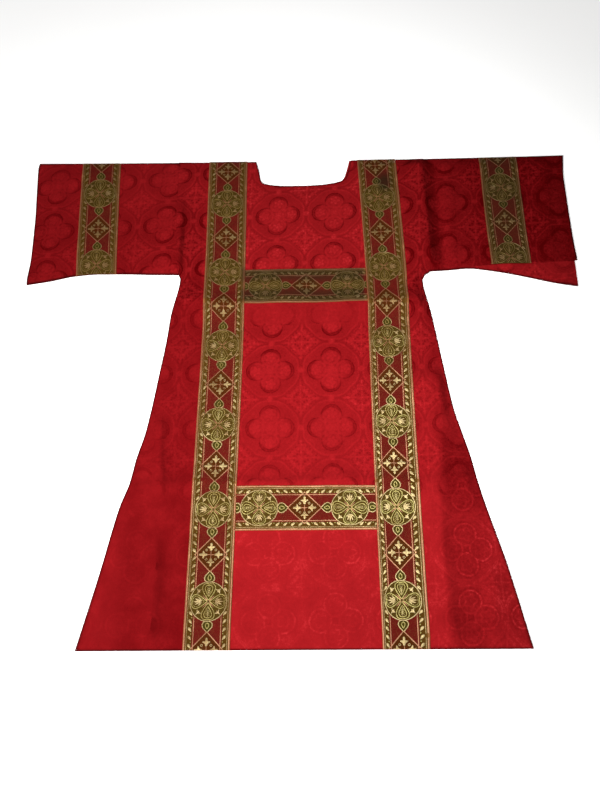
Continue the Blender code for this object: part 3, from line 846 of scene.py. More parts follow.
def figureMasks(tree, place, u, v, blotch):
    # where each part of the woven figure is, from 0 to 1
    soft, lobe, frame, lobeAt, flowerAt = [damask[name] for name in ("soft", "lobe", "frame", "lobeAt", "flowerAt")]
    # woven outlines are never quite smooth
    u = u + (noiseValue(tree, place, 260.0, 2.0) - 0.5) * 0.020 + (noiseValue(tree, place, 14.0, 1.0) - 0.5) * 0.030
    v = v + (noiseValue(tree, place, 240.0, 2.0) - 0.5) * 0.018
    x, y = (u + 0.5).op("FRACT") - 0.5, (v + 0.5).op("FRACT") - 0.5
    ax, ay = abs(x), abs(y)
    lobes = least(away(ax, y, lobeAt), away(x, ay, 0.0, lobeAt))
    lobesIn = least(away(ax, y, 0.197), away(x, ay, 0.0, 0.199))
    insideLobe = most(lobes.below(0.160, soft), (ax + ay).below(0.150, soft * 2))
    # a ring of three lines round each four-lobed frame, which nearly touches the next one
    ring = most(most(ax, ay), most((ax + ay) * 0.718, away(ax, ay) * 0.970))
    ring = ring + (noiseValue(tree, place, 46.0, 2.0) - 0.5) * 0.040
    # the flowered cross between four frames
    qx, qy = 0.5 - ax, 0.5 - ay
    near, far = least(qx, qy), most(qx, qy)
    outside = (qx + qy).below(damask["diamond"], soft)
    knot = least(away(qx, y), away(x, qy))
    arm = near.below(0.012, 0.010) * far.below(0.300, 0.020)
    sprig = spots(near, far, (0.0, 0.215, 0.026), (0.055, 0.150, 0.026), (0.0, 0.268, 0.018))
    sprig = most(most(sprig, spots(qx, qy, (0.105, 0.105, 0.028), (0.0, 0.0, 0.026))), arm)
    gaps = spots(qx, qy, (0.060, 0.060, 0.020), (0.032, 0.104, 0.016), (0.092, 0.178, 0.015),
                 (0.140, 0.140, 0.014), (0.036, 0.240, 0.014))
    # a flower in each lobe and dots round the middle
    east = ax.op("GREATER_THAN", ay)
    lobeX = east * (ax - flowerAt) + (1.0 - east) * x
    lobeY = east * y + (1.0 - east) * (ay - flowerAt)
    flower = rosette(lobeX, lobeY, *damask["flower"])
    return {
        "insideLobe": insideLobe,
        "crescent": lobes.below(lobe, soft) * lobesIn.above(0.143, soft * 1.4) * away(x, y).above(0.272, 0.055),
        "lobeLine": lobes.line(0.164, 0.006, soft),
        "lobeLight": lobes.line(lobe - 0.006, 0.014, soft * 1.5),
        "lobeShade": lobes.line(lobe + 0.020, 0.012, soft * 1.5),
        "lobeRing": away(lobeX, lobeY).line(0.116, 0.008, 0.014) * insideLobe,
        "flower": flower.below(0.004, 0.012),
        "flowerLine": flower.line(0.026, 0.013, 0.012),
        "seed": away(lobeX, lobeY).line(0.032, 0.010, 0.010),
        "centre": away(x, y).below(0.040, 0.014),
        "centreDots": most(spots(ax, ay, (0.072, 0.060, 0.018)) * 0.6, spots(ax, ay, (0.142, 0.142, 0.026))),
        "ring": ring.above(0.415, 0.020),
        "frameLine": ring.line(frame, 0.010, 0.020) * knot.above(0.055, 0.020),
        "frameLight": ring.line(frame - 0.032, 0.008, 0.012),
        "frameDark": ring.line(frame - 0.060, 0.007, 0.014),
        "outside": outside,
        "sprig": sprig * outside,
        "gaps": gaps * outside * (blotch.above(0.46, 0.10) * 1.1 + 0.25),
        "knot": knot.below(0.044, 0.016),
    }


def makeDamask():
    material, tree, u, v, place = startMaterial("damask", "cloth")
    placeX, placeY = parts(tree, place)
    blotch = noiseValue(tree, place, 150.0, 2.0)
    speckle = noiseValue(tree, place, 380.0, 3.0, 0.7)
    mottle = noiseValue(tree, place, 24.0, 3.0)
    masks = figureMasks(tree, place, u, v, blotch)
    outside = masks["outside"]

    # painted sheen: where light falls across the weave the figure is painted dark on bright, along it the other way
    # about
    breast = toned(masks, damask["breastTones"], -0.30) + masks["frameLight"] * (mottle * 0.42 - 0.02)
    breast = breast - masks["frameLine"] * (0.12 + mottle * 0.55 + (blotch - 0.5))
    breast = breast - masks["crescent"] * (mottle * 1.3 - 0.06)
    breast = breast + (speckle - 0.5) * (outside * 0.25 + 0.70) + (blotch - 0.5) * (outside * 0.80 + 0.50)
    skirt = toned(masks, damask["skirtTones"], -0.05) + masks["lobeLight"] * (0.16 + (blotch - 0.30) * 0.50)
    skirt = skirt + (speckle - 0.5) * 0.45 + (blotch - 0.5) * 0.55
    # the steps between the three panels lie under the long bands
    left, middle, right = placeX.below(-0.200, 0.030), abs(placeX).below(0.200, 0.010), placeX.above(0.210, 0.020)
    # painted sheen: the skirt's figure is painted fainter towards its -X side
    faint = placeX.above(0.310, 0.030) * 0.46 - left * 0.06 + 0.46 + placeX * 0.5 + (mottle - 0.5) * 1.1
    skirt = skirt * faint.op("MAXIMUM", 0.05) + (speckle - 0.5) * 0.28 + (mottle - 0.5) * 0.40 + 0.16
    # painted shade and light: the skirt's -X panel is painted darker, the +X one lighter up to its fold and darker near
    # its outer edge
    skirt = skirt - left * (placeX.above(-0.310, 0.010) * 0.05 + 0.32) - middle * 0.06
    skirt = skirt + right * placeX.below(0.300, 0.006) * 0.20
    skirt = skirt + placeX.above(0.330, 0.020) * 0.05 - placeX.above(0.425, 0.024) * 0.22
    # painted sheen: the figure is painted strong above the lower crossbar, but for the smooth strip under the upper
    # one, where the crease catches the light; it is weaker on the -X panel under the upper crease and on the sleeves
    drift = placeY + (mottle - 0.5) * 0.16
    upper = drift.above(-0.275, 0.035)
    strip = placeY.line(0.158, 0.026, 0.012)
    strong = upper * (0.52 + placeY.above(0.0, 0.20) * 0.20 + placeY.above(0.10, 0.16) * 0.04)
    strong = strong * (1.0 - placeX.below(-0.230, 0.030) * drift.below(0.190, 0.020) * 0.42)
    strong = strong * (1.0 - abs(placeX).above(0.330, 0.020) * 0.28)
    strong = strong * (1.0 - strip * abs(placeX).below(0.160, 0.010) * 0.74)
    bright = breast * strong + skirt * (1.0 - strong) + (mottle - 0.5) * 0.18
    # painted light and shade: the yoke, the sleeves and the skirt's panels are painted lighter and darker where they
    # take the light differently
    raised, lowered = placeY.above(0.200, 0.050), 1.0 - upper
    bright = bright - raised * (placeX.above(0.240, 0.030) * 0.25 + placeX.above(0.318, 0.012) * 0.11
                                + placeX.above(0.520, 0.060) * 0.07 + placeX.line(0.334, 0.010, 0.012) * 0.14
                                + placeX.below(-0.245, 0.010) * (0.20 - placeY.above(0.460, 0.080) * 0.15))
    bright = bright - placeX.above(0.312, 0.010) * placeY.line(-0.235, 0.080, 0.050) * 0.26
    bright = bright + lowered * (placeX.below(-0.400, 0.020) * 0.16 - left * 0.04 + middle * 0.08 - right * 0.10)
    bright = bright + placeY.above(0.250, 0.030) * 0.14 - right * 0.09
    bright = bright - left * (1.0 - raised) * 0.10 - strip * middle * 0.17
    # painted light: the turned strip of the rolled sleeve, which has its grain the other way, is painted lighter than
    # the shaded sleeve above it
    bright = bright + (placeY - placeX * 0.047).below(0.268, 0.002) * placeX.above(0.420, 0.060) * 0.46
    bright = (bright * 0.62 + 0.44).op("MULTIPLY", 1.0, clamp=True)

    colour = blend(tree, bright, damask["dark"], damask["bright"])
    # painted highlight: the lightest parts of the figure turn to a paler shine
    colour = blend(tree, (bright - 0.58).op("MULTIPLY", 2.2, clamp=True), colour, damask["shine"])
    # painted shade along the cut edges, where the turned cloth rolls away from the light
    rim = Value(tree, addNode(tree, "ShaderNodeAttribute", attribute_name="rim").outputs["Fac"])
    colour = blend(tree, rim.above(0.40, 0.35) * 0.80, colour, damask["edge"])
    relief = toned(masks, damask["heights"], 0.0) * (strong * 0.4 + 0.2) + speckle * 0.22
    relief = waveValue(tree, place, 520.0, "DIAGONAL") * 0.08 + relief
    finishMaterial(tree, colour, 0.54 - bright * 0.12 + (speckle - 0.5) * 0.12, bump(tree, relief, 0.00045, 0.7),
                   {"Specular IOR Level": 0.0, "Sheen Weight": 0.03, "Sheen Roughness": 0.35,
                    "Sheen Tint": (1.0, 0.12, 0.10, 1.0)})
    return material


# Galloon
galloon = {
    "field": (0.103, 0.0050, 0.0046),
    "wornField": (0.062, 0.0036, 0.0032),
    "olive": (0.045, 0.0210, 0.0027),
    "brown": (0.040, 0.0088, 0.0012),
    "disc": (0.038, 0.0220, 0.0030),
    "green": (0.027, 0.0225, 0.0026),
    "beside": (0.120, 0.098, 0.028),
    "edge": (0.170, 0.064, 0.022),
    "selvedge": (0.066, 0.030, 0.006),
    "fleck": (0.20, 0.11, 0.032),
    # painted shade, partly grime, on the upper crossbar, a patch near the neck and the +X cuff's band
    "shadeAndGrime": (0.014, 0.0098, 0.0044),
    # each thread's colour where it is clean and where it is dulled, by tarnish and by painted shade, how metallic and
    # how rough it is
    "gold": ((0.292, 0.252, 0.084), (0.108, 0.064, 0.015), 0.35, 0.42),
    "bright": ((0.372, 0.290, 0.138), (0.122, 0.066, 0.024), 0.25, 0.42),
    "copper": ((0.322, 0.155, 0.085), (0.150, 0.052, 0.024), 0.25, 0.46),
}


def makeGalloonGround():
    material, tree, u, v, place = startMaterial("galloonGround", "galloon")
    across = u - 0.5
    a = abs(across)
    toMedallion = ((v + 0.5).op("FRACT") - 0.5) * 2.0
    toLozenge = (v.op("FRACT") - 0.5) * 2.0
    soft = 0.006
    disc = away(across / figure["broad"], toMedallion / figure["tall"]).below(0.376, soft)
    wide, tall = figure["lozenge"]
    lozenge = (a / wide + abs(toLozenge) / tall).below(1.0, 0.015)
    drop = away(across, abs(toMedallion) - 0.500).below(0.096, soft)
    drop = most(drop, (a / 0.080 + abs(abs(toMedallion) - 0.52) / 0.112).below(1.0, 0.03))
    weave = noiseValue(tree, place, 900.0, 2.0)
    wear = noiseValue(tree, place, 60.0, 4.0)
    # beside each medallion the border is solid thread
    beside = a.line(0.366, 0.040, soft * 2) * abs(toMedallion).below(0.150, 0.040) * (wear * 1.2 - 0.10)
    colour = blend(tree, (wear - 0.35).op("MULTIPLY", 1.2, clamp=True), galloon["wornField"], galloon["field"])
    for amount, name in ((a.above(0.318, soft), "olive"), (a.above(0.412, soft), "selvedge"),
                         (a.above(0.462, soft), "edge"), (beside, "beside"), (lozenge, "brown"), (drop, "green"),
                         (disc, "disc"), (weave.above(0.60, 0.05) * 0.22, "fleck"),
                         # painted shade, partly grime
                         (shadeAndGrimeOn(tree, place) * 0.82, "shadeAndGrime")):
        colour = blend(tree, amount, colour, galloon[name])
    ribs = waveValue(tree, place, 430.0, "Y", 0.6) * 0.5 + waveValue(tree, place, 430.0, "X", 0.6) * 0.5
    finishMaterial(tree, colour, (wear - 0.5) * 0.2 + 0.60, bump(tree, ribs + weave * 0.6, 0.00025, 0.8),
                   {"Specular IOR Level": 0.04, "Specular Tint": (1.0, 0.35, 0.15, 1.0)})
    return material


def shadeAndGrimeOn(tree, place):
    # painted shade, partly grime: the upper crossbar, one patch near the neck and the +X cuff's band are darkened, the
    # bar less along its middle
    x, y = parts(tree, place)
    bar = y.line(0.2330, 0.0500, 0.010) * abs(x).below(0.150, 0.004) * (0.80 - y.line(0.2330, 0.012, 0.012) * 0.62)
    patch = away(x, y * 0.7, 0.212, 0.372).below(0.018, 0.016) * 1.2
    cuff = x.above(0.400, 0.030) * y.above(0.200, 0.050) * 0.46
    uneven = 0.7 + noiseValue(tree, place, 22.0, 2.0) * 0.6
    return (most(most(bar, patch), cuff) * uneven).op("MULTIPLY", 1.0, clamp=True)


def makeThread(name, clean, dull, metallic, roughness):
    # metal thread laid side by side, so that it glints unevenly, with painted glints, and painted duller towards the
    # shoulders and, lower down, towards -X
    material, tree, _, _, place = startMaterial(name, "galloon")
    x, y = parts(tree, place)
    # painted shade: where the thread is painted duller
    upper = y.above(0.02, 0.26)
    upper = upper * 1.25 + (0.22 - x) * (1.0 - upper) * 1.4
    glint = noiseValue(tree, place, 700.0, 2.0, 0.6)
    tarnish = noiseValue(tree, place, 38.0, 4.0)
    colour = blend(tree, ((tarnish - 0.16) * 2.2 - upper * 0.75).op("MULTIPLY", 1.0, clamp=True), dull, clean)
    # painted glints: patches of thread painted in a lighter copy of its colour, fewer towards the shoulders
    shine = tuple(min(1.0, c * 1.6) for c in clean)
    colour = blend(tree, glint.above(0.56, 0.08) * (0.55 - upper * 0.40), colour, shine)
    # the same painted shade, partly grime, darkens the threads
    colour = blend(tree, shadeAndGrimeOn(tree, place) * 0.62, colour, galloon["shadeAndGrime"])
    strands = waveValue(tree, place, 640.0, "DIAGONAL", 1.0)
    finishMaterial(tree, colour, (glint - 0.5) * 0.5 + roughness, bump(tree, strands * 0.6 + glint * 0.8, 0.0003, 0.8),
                   {"Metallic": metallic, "Specular IOR Level": 0.40, "Specular Tint": (1.0, 0.78, 0.42, 1.0)})
    return material


# One repeat of the galloon, in band widths: the medallion is at 0 and the lozenge at 1. Heights are in metres.
figure = {
    "low": -0.0002,          # how deep the threads sink into the band
    "ring": (0.374, 0.024, 0.00045),         # radius, width and height
    "broad": 1.05,           # the medallion is stretched this much across the band
    "tall": 1.10,            # and this much along it
    "petalLine": (0.026, 0.00042),           # width and height
    "leaf": 0.00042,
    "line": 0.00030,
    "lineCrest": 0.26,       # where a line's flanks end, as a share of its width
    "leafCrest": 0.72,
    "lozenge": (0.356, 0.372),
    "edgeLines": ((0.474, 0.040, "copper"), (0.431, 0.012, "bright")),   # place, width and thread
    "innerLine": 0.290,
    "dashRow": 0.362,
    "beadRow": 0.338,
    "dashes": 12,
    "endMargin": 0.003,      # how far the threads stop before a band's end, in repeats
}

materials = {
    "damask": makeDamask(),
    "ground": makeGalloonGround(),
    "gold": makeThread("goldThread", *galloon["gold"]),
    "bright": makeThread("brightThread", *galloon["bright"]),
    "copper": makeThread("copperThread", *galloon["copper"]),
}
for piece in panels.values():
    piece.data.materials.append(materials["damask"])
for piece in bands.values():
    piece.data.materials.append(materials["ground"])
print("materials made")


# The galloon's woven figures
class Figure:
    # gathers raised lines and leaves into one mesh
    def __init__(self):
        self.points, self.faces = [], []

    def line(self, path, width, height, closed=False):
        path = np.array(path, float)
        if closed:
            before, after = np.roll(path, 1, axis=0), np.roll(path, -1, axis=0)
        else:
            before = np.concatenate([path[:1], path[:-1]])
            after = np.concatenate([path[1:], path[-1:]])
        ahead = after - before
        ahead /= np.maximum(np.hypot(ahead[:, 0], ahead[:, 1])[:, None], 1e-9)
        side = np.stack([-ahead[:, 1], ahead[:, 0]], 1)
        width = np.broadcast_to(width, len(path))[:, None]
        low, crest = figure["low"], figure["lineCrest"]
        rows = [(0.5, low), (crest, height), (-crest, height), (-0.5, low)]
        base = len(self.points)
        number = len(path)
        for i in range(number):
            for share, z in rows:
                at = path[i] + side[i] * width[i] * share
                self.points.append((at[0], at[1], z))
        for i in range(number if closed else number - 1):
            j = (i + 1) % number
            for k in range(4):
                m = (k + 1) % 4
                self.faces.append((base + 4 * i + k, base + 4 * i + m, base + 4 * j + m, base + 4 * j + k))
        if not closed:
            last = base + 4 * (number - 1)
            self.faces.append((base + 3, base + 2, base + 1, base))
            self.faces.append((last, last + 1, last + 2, last + 3))

    def leaf(self, rim, height):
        # a filled shape, raised in its middle; rim runs anticlockwise
        rim = np.array(rim, float)
        middle = rim.mean(0)
        base = len(self.points)
        number = len(rim)
        for share, z in ((1.0, figure["low"]), (figure["leafCrest"], height * 0.8)):
            for x, y in middle + (rim - middle) * share:
                self.points.append((x, y, z))
        self.points.append((middle[0], middle[1], height))
        self.points.append((middle[0], middle[1], figure["low"]))
        for i in range(number):
            j = (i + 1) % number
            self.faces.append((base + i, base + j, base + number + j, base + number + i))
            self.faces.append((base + number + i, base + number + j, base + 2 * number))
            self.faces.append((base + j, base + i, base + 2 * number + 1))

    def build(self, name):
        mesh = bpy.data.meshes.new(name)
        mesh.from_pydata(self.points, [], self.faces)
        mesh.validate()
        mesh.shade_smooth()
        return bpy.data.objects.new(name, mesh)


def turned(points, angle, centre=(0.0, 0.0)):
    points = np.array(points, float)
    c, s = math.cos(angle), math.sin(angle)
    return points @ np.array([[c, s], [-s, c]]) + np.array(centre)


def circle(radius, number, centre=(0.0, 0.0)):
    angle = np.arange(number) * math.tau / number
    return np.stack([centre[0] + radius * np.cos(angle), centre[1] + radius * np.sin(angle)], 1)


def softPath(half, per=3):
    # a closed, mirrored outline eased through the points of its right half
    points = np.array(list(half) + [(-x, y) for x, y in half[-2:0:-1]], float)
    before, after, later = np.roll(points, 1, 0), np.roll(points, -1, 0), np.roll(points, -2, 0)
    steps = []
    for i in range(per):
        t = i / per
        steps.append(0.5 * (2 * points + (after - before) * t + (2 * before - 5 * points + 4 * after - later) * t * t
                            + (3 * points - before - 3 * after + later) * t ** 3))
    return np.stack(steps, 1).reshape(-1, 2)


# right halves of the figures' outlines, from one end of the figure to the other
petalHalf = [(0.0, 0.030), (0.046, 0.088), (0.092, 0.150), (0.124, 0.215), (0.132, 0.268), (0.110, 0.316),
             (0.064, 0.342), (0.022, 0.340), (0.0, 0.330)]
almondHalf = [(0.0, 0.098), (0.032, 0.146), (0.066, 0.204), (0.078, 0.252), (0.062, 0.292), (0.028, 0.308),
              (0.0, 0.300)]
lobeHalf = [(0.0, 0.0), (0.022, 0.030), (0.030, 0.062), (0.018, 0.095), (0.0, 0.112)]
starHalf = [(0.0, -0.050), (0.026, -0.026), (0.078, -0.036), (0.020, 0.022), (0.0, 0.078)]
cupHalf = [(0.0, 0.058), (0.026, 0.082), (0.040, 0.126), (0.094, 0.158), (0.090, 0.184), (0.044, 0.186),
           (0.024, 0.212), (0.034, 0.238), (0.0, 0.276)]
dropHalf = [(0.0, 0.408), (0.058, 0.416), (0.100, 0.452), (0.108, 0.500), (0.086, 0.552), (0.040, 0.598),
            (0.0, 0.640)]
seedHalf = [(0.0, 0.446), (0.026, 0.464), (0.037, 0.498), (0.022, 0.536), (0.0, 0.566)]
dashHalf = [(0.0, -0.066), (0.026, -0.044), (0.031, -0.010), (0.017, 0.036), (0.0, 0.068)]


def makeFigures():
    kinds = {"gold": Figure(), "bright": Figure(), "copper": Figure()}
    gold, bright, copper = kinds.values()
    radius, width, height = figure["ring"]
    tall = (figure["broad"], figure["tall"])
    line, leaf = figure["line"], figure["leaf"]
    bright.line(circle(radius, 44) * tall, width, height, True)
    for quarter in range(4):
        turn = quarter * math.pi / 2
        wide, raised = figure["petalLine"]
        gold.line(turned(softPath(petalHalf), turn) * tall, wide, raised, True)
        if quarter % 2:
            # the side petals hold a feathered leaf, the upper and lower ones a full leaf
            smaller = [(x * 0.74, 0.062 + y * 0.74) for x, y in petalHalf]
            gold.line(turned(softPath(smaller, 2), turn) * tall, 0.011, line, True)
            stalk = turned([(0.0, 0.128)], turn)[0]
            for lean, grow in ((0.0, 1.62), (0.36, 1.50), (-0.36, 1.50), (0.80, 1.06), (-0.80, 1.06)):
                bright.leaf(turned(softPath(lobeHalf, 2) * (grow * 0.42, grow), turn + lean, stalk) * tall, leaf)
        else:
            gold.line(turned(softPath(almondHalf, 2), turn) * tall, 0.024, leaf, True)
            bright.line(turned([(0.0, 0.116), (0.0, 0.200), (0.0, 0.286)], turn) * tall, [0.014, 0.022, 0.014], leaf)
            for lean in (-0.62, 0.62):
                for up in (0.150, 0.188, 0.226):
                    vein = turned(turned([(0.0, 0.004), (0.0, 0.066)], lean, (0.0, up)), turn) * tall
                    gold.line(vein, [0.020, 0.014], leaf * 0.9)
        diagonal = turn + math.pi / 4
        spot = turned([(0.0, 0.290)], diagonal)[0]
        bright.leaf(turned(softPath(starHalf, 2), diagonal, spot) * tall, leaf * 1.2)
        spoke = turned([(0.0, r) for r in (0.018, 0.060, 0.110, 0.175)], diagonal)
        copper.line(spoke, [0.022, 0.028, 0.022, 0.012], line * 1.3)
    # drops above and below the medallion, each with a seed leaf
    for turn in (0.0, math.pi):
        bright.line(turned(softPath(dropHalf), turn), 0.026, line * 1.2, True)
        gold.line(turned(softPath(seedHalf, 2), turn), 0.026, leaf, True)
    # the lozenge, with a flowered cross and four dots
    lozengeX, lozengeY = figure["lozenge"]
    corners = [(0.0, 1.0 - lozengeY), (lozengeX, 1.0), (0.0, 1.0 + lozengeY), (-lozengeX, 1.0)]
    rim = []
    for start, end in zip(corners, corners[1:] + corners[:1]):
        rim += [(mix(start[0], end[0], i / 7), mix(start[1], end[1], i / 7)) for i in range(7)]
    copper.line(rim, 0.028, line * 1.3, True)
    for quarter in range(4):
        turn = quarter * math.pi / 2
        bright.leaf(turned(softPath(cupHalf, 2), turn, (0.0, 1.0)), leaf)
        copper.line(turned([(0.0, r) for r in (0.0, 0.04, 0.092)], turn, (0.0, 1.0)), [0.026, 0.018, 0.018], line)
        dot = turned([(0.0, 0.142)], turn + math.pi / 4, (0.0, 1.0))[0]
        bright.line(circle(0.022, 8, dot), 0.017, leaf * 0.9, True)
    # the borders: lines each side of a row of slanting dashes and beads
    inner = figure["innerLine"]
    for side in (-1, 1):
        for at, wide, kind in figure["edgeLines"]:
            kinds[kind].line([(side * at, mix(-0.5, 1.5, i / 14)) for i in range(15)], wide, line)
        # the medallion's ring lies over the inner line, the dashes and the beads
        meets = radius * figure["tall"] * math.sqrt(1 - (inner / (radius * figure["broad"])) ** 2)
        for low, high in ((-0.5, -meets), (meets, 1.5)):
            copper.line([(side * inner, mix(low, high, i / 10)) for i in range(11)], 0.025, line)
        for number in range(figure["dashes"]):
            y = -0.5 + 2.0 * (number + 0.5) / figure["dashes"]
            if abs(y) > 0.15:
                lean = side * (0.66 if 0.0 < y < 1.0 else -0.66)
                bright.leaf(turned(softPath(dashHalf, 2), lean, (side * figure["dashRow"], y)), leaf * 1.1)
            if abs(y + 0.084) > 0.22:
                gold.leaf(circle(0.016, 6, (side * figure["beadRow"], y + 0.084)), leaf * 0.7)
    return {kind: unit.build(kind + "Figure") for kind, unit in kinds.items()}


def makeWrapTree():
    # lays copies of one flat repeat along a band and bends them onto its face
    tree = bpy.data.node_groups.new("figuresOnBand", "GeometryNodeTree")
    for name, kind in (("Geometry", "Geometry"), ("Band", "Object"), ("Figure", "Object"), ("First", "Float"),
                       ("Count", "Int"), ("Low End", "Float"), ("High End", "Float"), ("Thread", "Material")):
        tree.interface.new_socket(name, in_out="INPUT", socket_type="NodeSocket" + kind)
    tree.interface.new_socket("Geometry", in_out="OUTPUT", socket_type="NodeSocketGeometry")
    given = addNode(tree, "NodeGroupInput").outputs
    result = addNode(tree, "NodeGroupOutput")

    def number(kind, *items):
        return addNode(tree, "ShaderNodeMath", enumerate(items), operation=kind).outputs[0]

    def vector(*items):
        return addNode(tree, "ShaderNodeCombineXYZ", enumerate(items)).outputs[0]

    def without(geometry, kind, value, limit):
        # leaves out the faces whose value is on that side of the limit
        chosen = addNode(tree, "FunctionNodeCompare", {0: value, 1: limit}, operation=kind).outputs[0]
        node = addNode(tree, "GeometryNodeDeleteGeometry", {"Geometry": geometry, "Selection": chosen}, domain="FACE")
        return node.outputs["Geometry"]

    start = vector(0.0, number("MULTIPLY", given["First"], 2.0), 0.0)
    row = addNode(tree, "GeometryNodeMeshLine", {"Count": given["Count"], "Start Location": start,
                                                 "Offset": (0.0, 2.0, 0.0)})
    unit = addNode(tree, "GeometryNodeObjectInfo", {"Object": given["Figure"]})
    copies = addNode(tree, "GeometryNodeInstanceOnPoints", {"Points": row.outputs["Mesh"],
                                                            "Instance": unit.outputs["Geometry"]})
    realized = addNode(tree, "GeometryNodeRealizeInstances", {"Geometry": copies.outputs["Instances"]})

    # where each point falls on the band's own map
    position = addNode(tree, "GeometryNodeInputPosition").outputs[0]
    flatX, flatY, flatZ = addNode(tree, "ShaderNodeSeparateXYZ", {0: position}).outputs
    across = number("MINIMUM", number("MAXIMUM", number("ADD", flatX, 0.5), 0.001), 0.999)
    along = number("MULTIPLY", flatY, 0.5)
    low, high = given["Low End"], given["High End"]
    held = number("MINIMUM", number("MAXIMUM", along, low), high)
    # faces wholly past the band's ends are left out
    beyond = number("ADD", number("LESS_THAN", along, low), number("GREATER_THAN", along, high))
    past = addNode(tree, "GeometryNodeFieldOnDomain", {0: beyond}, domain="POINT").outputs[0]
    trimmed = without(realized.outputs["Geometry"], "GREATER_THAN", past, 0.999)
    # only the face that shows is sampled: the wall's inner skin shares the same map
    surface = addNode(tree, "GeometryNodeObjectInfo", {"Object": given["Band"]}).outputs["Geometry"]
    normal = addNode(tree, "GeometryNodeInputNormal").outputs["Normal"]
    facing = addNode(tree, "ShaderNodeSeparateXYZ", {0: normal}).outputs[2]
    shown = without(surface, "LESS_THAN", facing, 0.3)
    bandMap = addNode(tree, "GeometryNodeInputNamedAttribute", {"Name": "galloon"}, data_type="FLOAT_VECTOR")
    target = vector(across, held, 0.0)
    place, way = [addNode(tree, "GeometryNodeSampleUVSurface",
                          {"Mesh": shown, "Value": value, "UV Map": bandMap.outputs["Attribute"], "Sample UV": target},
                          data_type="FLOAT_VECTOR").outputs["Value"] for value in (position, normal)]
    lift = addNode(tree, "ShaderNodeVectorMath", {0: way, "Scale": flatZ}, operation="SCALE").outputs[0]
    total = addNode(tree, "ShaderNodeVectorMath", {0: place, 1: lift}, operation="ADD").outputs[0]
    moved = addNode(tree, "GeometryNodeSetPosition", {"Geometry": trimmed, "Position": total}).outputs["Geometry"]
    # what ran past the band's ends has shrunk to nothing
    kept = without(moved, "LESS_THAN", addNode(tree, "GeometryNodeInputMeshFaceArea").outputs[0], 1e-9)
    merged = addNode(tree, "GeometryNodeMergeByDistance", {"Geometry": kept, "Distance": 0.00001})
    dressed = addNode(tree, "GeometryNodeSetMaterial", {"Geometry": merged.outputs["Geometry"],
                                                        "Material": given["Thread"]})
    tree.links.new(dressed.outputs["Geometry"], result.inputs["Geometry"])
    return tree


def applyTree(name, tree, **values):
    # runs a node group on an empty mesh and keeps the result as a plain one
    holder = bpy.data.objects.new(name, bpy.data.meshes.new(name))
    scene.collection.objects.link(holder)
    modifier = holder.modifiers.new(name, "NODES")
    modifier.node_group = tree
    sockets = {item.name: item.identifier for item in tree.interface.items_tree if item.in_out == "INPUT"}
    for key, value in values.items():
        modifier[sockets[key]] = value
    bpy.context.view_layer.update()
    graph = bpy.context.evaluated_depsgraph_get()
    mesh = bpy.data.meshes.new_from_object(holder.evaluated_get(graph), depsgraph=graph)
    holder.modifiers.clear()
    mesh.name = name
    holder.data = mesh
    # a mirrored map turns the faces inside out
    mesh.calc_loop_triangles()
    corners = np.empty(len(mesh.loop_triangles) * 3, np.int32)
    mesh.loop_triangles.foreach_get("vertices", corners)
    points = np.empty(len(mesh.vertices) * 3)
    mesh.vertices.foreach_get("co", points)
    a, b, c = (points.reshape(-1, 3) - points.reshape(-1, 3).mean(0))[corners.reshape(-1, 3)].transpose(1, 0, 2)
    if (np.cross(a, b) * c).sum() < 0:
        mesh.flip_normals()
    mesh.shade_smooth()
    return holder


figures = makeFigures()
for unit in figures.values():
    scene.collection.objects.link(unit)
wrapTree = makeWrapTree()
reliefs = {}
for node, piece in bands.items():
    places = np.empty(len(piece.data.loops) * 2, np.float32)
    piece.data.uv_layers["galloon"].uv.foreach_get("vector", places)
    low, high = float(places[1::2].min()), float(places[1::2].max())
    margin = figure["endMargin"]
    first = math.floor(low) - 1
    for kind, unit in figures.items():
        name = kind + "Thread_" + node
        reliefs[name] = applyTree(name, wrapTree, **{
            "Band": piece, "Figure": unit, "First": float(first), "Count": math.ceil(high) - first + 2,
            "Low End": low + margin, "High End": high - margin, "Thread": materials[kind]})
for unit in figures.values():
    bpy.data.objects.remove(unit)
print("figures made", {k: len(v.data.polygons) for k, v in reliefs.items()})


# Riding and replacing
cloths = {**panels, **bands}
for node, piece in cloths.items():
    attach(piece, "root")
    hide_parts(node)
for piece in reliefs.values():
    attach(piece, "root")

# Floor, light and camera
stageSetup = {
    "key": {"at": (-1.60, -1.90, 1.90), "aim": (0.00, -0.10, 0.0), "size": 0.60, "power": 37.0, "spread": 100.0},
    "front": {"at": (0.02, -0.85, 2.30), "aim": (0.01, -0.05, 0.0), "size": 0.45, "power": 6.5, "spread": 46.0},
    "side": {"at": (-1.50, 0.60, 1.70), "aim": (-0.10, 0.30, 0.0), "size": 1.00, "power": 4.0, "spread": 140.0},
    "sky": 0.23,
    "paper": 0.32,           # how much the floor's paper glows, so that it stays white to its edges
    "lens": 46.98,
    "cameraAt": (-0.0110, -0.6850, 1.7130),
    "cameraTurn": (20.0, 0.0, -0.3),
}


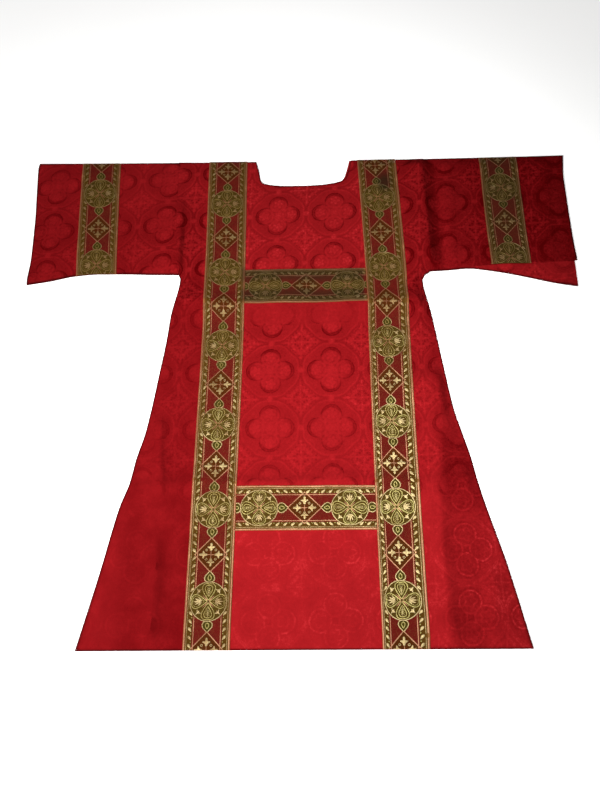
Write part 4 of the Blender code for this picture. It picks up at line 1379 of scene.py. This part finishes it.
def makeFloor():
    mesh = bpy.data.meshes.new("floor")
    reach, level = 6, -0.0004
    corners = [(-reach, -reach, level), (reach, -reach, level), (reach, reach, level), (-reach, reach, level)]
    mesh.from_pydata(corners, [], [(0, 1, 2, 3)])
    piece = bpy.data.objects.new("floor", mesh)
    scene.collection.objects.link(piece)
    material = bpy.data.materials.new("floorPaper")
    material.use_nodes = True
    tree = material.node_tree
    shader = tree.nodes["Principled BSDF"]
    place = tree.nodes.new("ShaderNodeTexCoord").outputs["Object"]
    grain = noiseValue(tree, place, 9.0, 5.0)
    tree.links.new(blend(tree, grain, (0.905, 0.905, 0.90), (0.93, 0.93, 0.925)), shader.inputs["Base Color"])
    shader.inputs["Roughness"].default_value = 0.95
    shader.inputs["Specular IOR Level"].default_value = 0.1
    shader.inputs["Emission Color"].default_value = (1.0, 1.0, 1.0, 1.0)
    shader.inputs["Emission Strength"].default_value = stageSetup["paper"]
    mesh.materials.append(material)


def makeLight(name, at, aim, size, power, spread):
    data = bpy.data.lights.new(name, "AREA")
    data.shape = "SQUARE"
    data.size = size
    data.energy = power
    data.spread = math.radians(spread)
    light = bpy.data.objects.new(name, data)
    scene.collection.objects.link(light)
    direction = np.array(aim) - np.array(at)
    flat = math.hypot(direction[0], direction[1])
    light.location = at
    turn = math.atan2(direction[1], direction[0]) - math.pi / 2
    light.rotation_euler = (math.atan2(flat, -direction[2]), 0.0, turn)


makeFloor()
for lamp in ("key", "front", "side"):
    makeLight(lamp, **stageSetup[lamp])
world = bpy.data.worlds.new("paleRoom")
scene.world = world
world.use_nodes = True
background = world.node_tree.nodes["Background"]
background.inputs["Color"].default_value = (1.0, 0.985, 0.96, 1.0)
background.inputs["Strength"].default_value = stageSetup["sky"]
scene.view_settings.view_transform = "Standard"

cameraData = bpy.data.cameras.new("camera")
cameraData.sensor_fit = "HORIZONTAL"
cameraData.sensor_width = 36.0
cameraData.lens = stageSetup["lens"]
camera = bpy.data.objects.new("camera", cameraData)
scene.collection.objects.link(camera)
camera.location = stageSetup["cameraAt"]
camera.rotation_euler = [math.radians(angle) for angle in stageSetup["cameraTurn"]]
scene.camera = camera

bpy.context.view_layer.update()
print("scene ready")
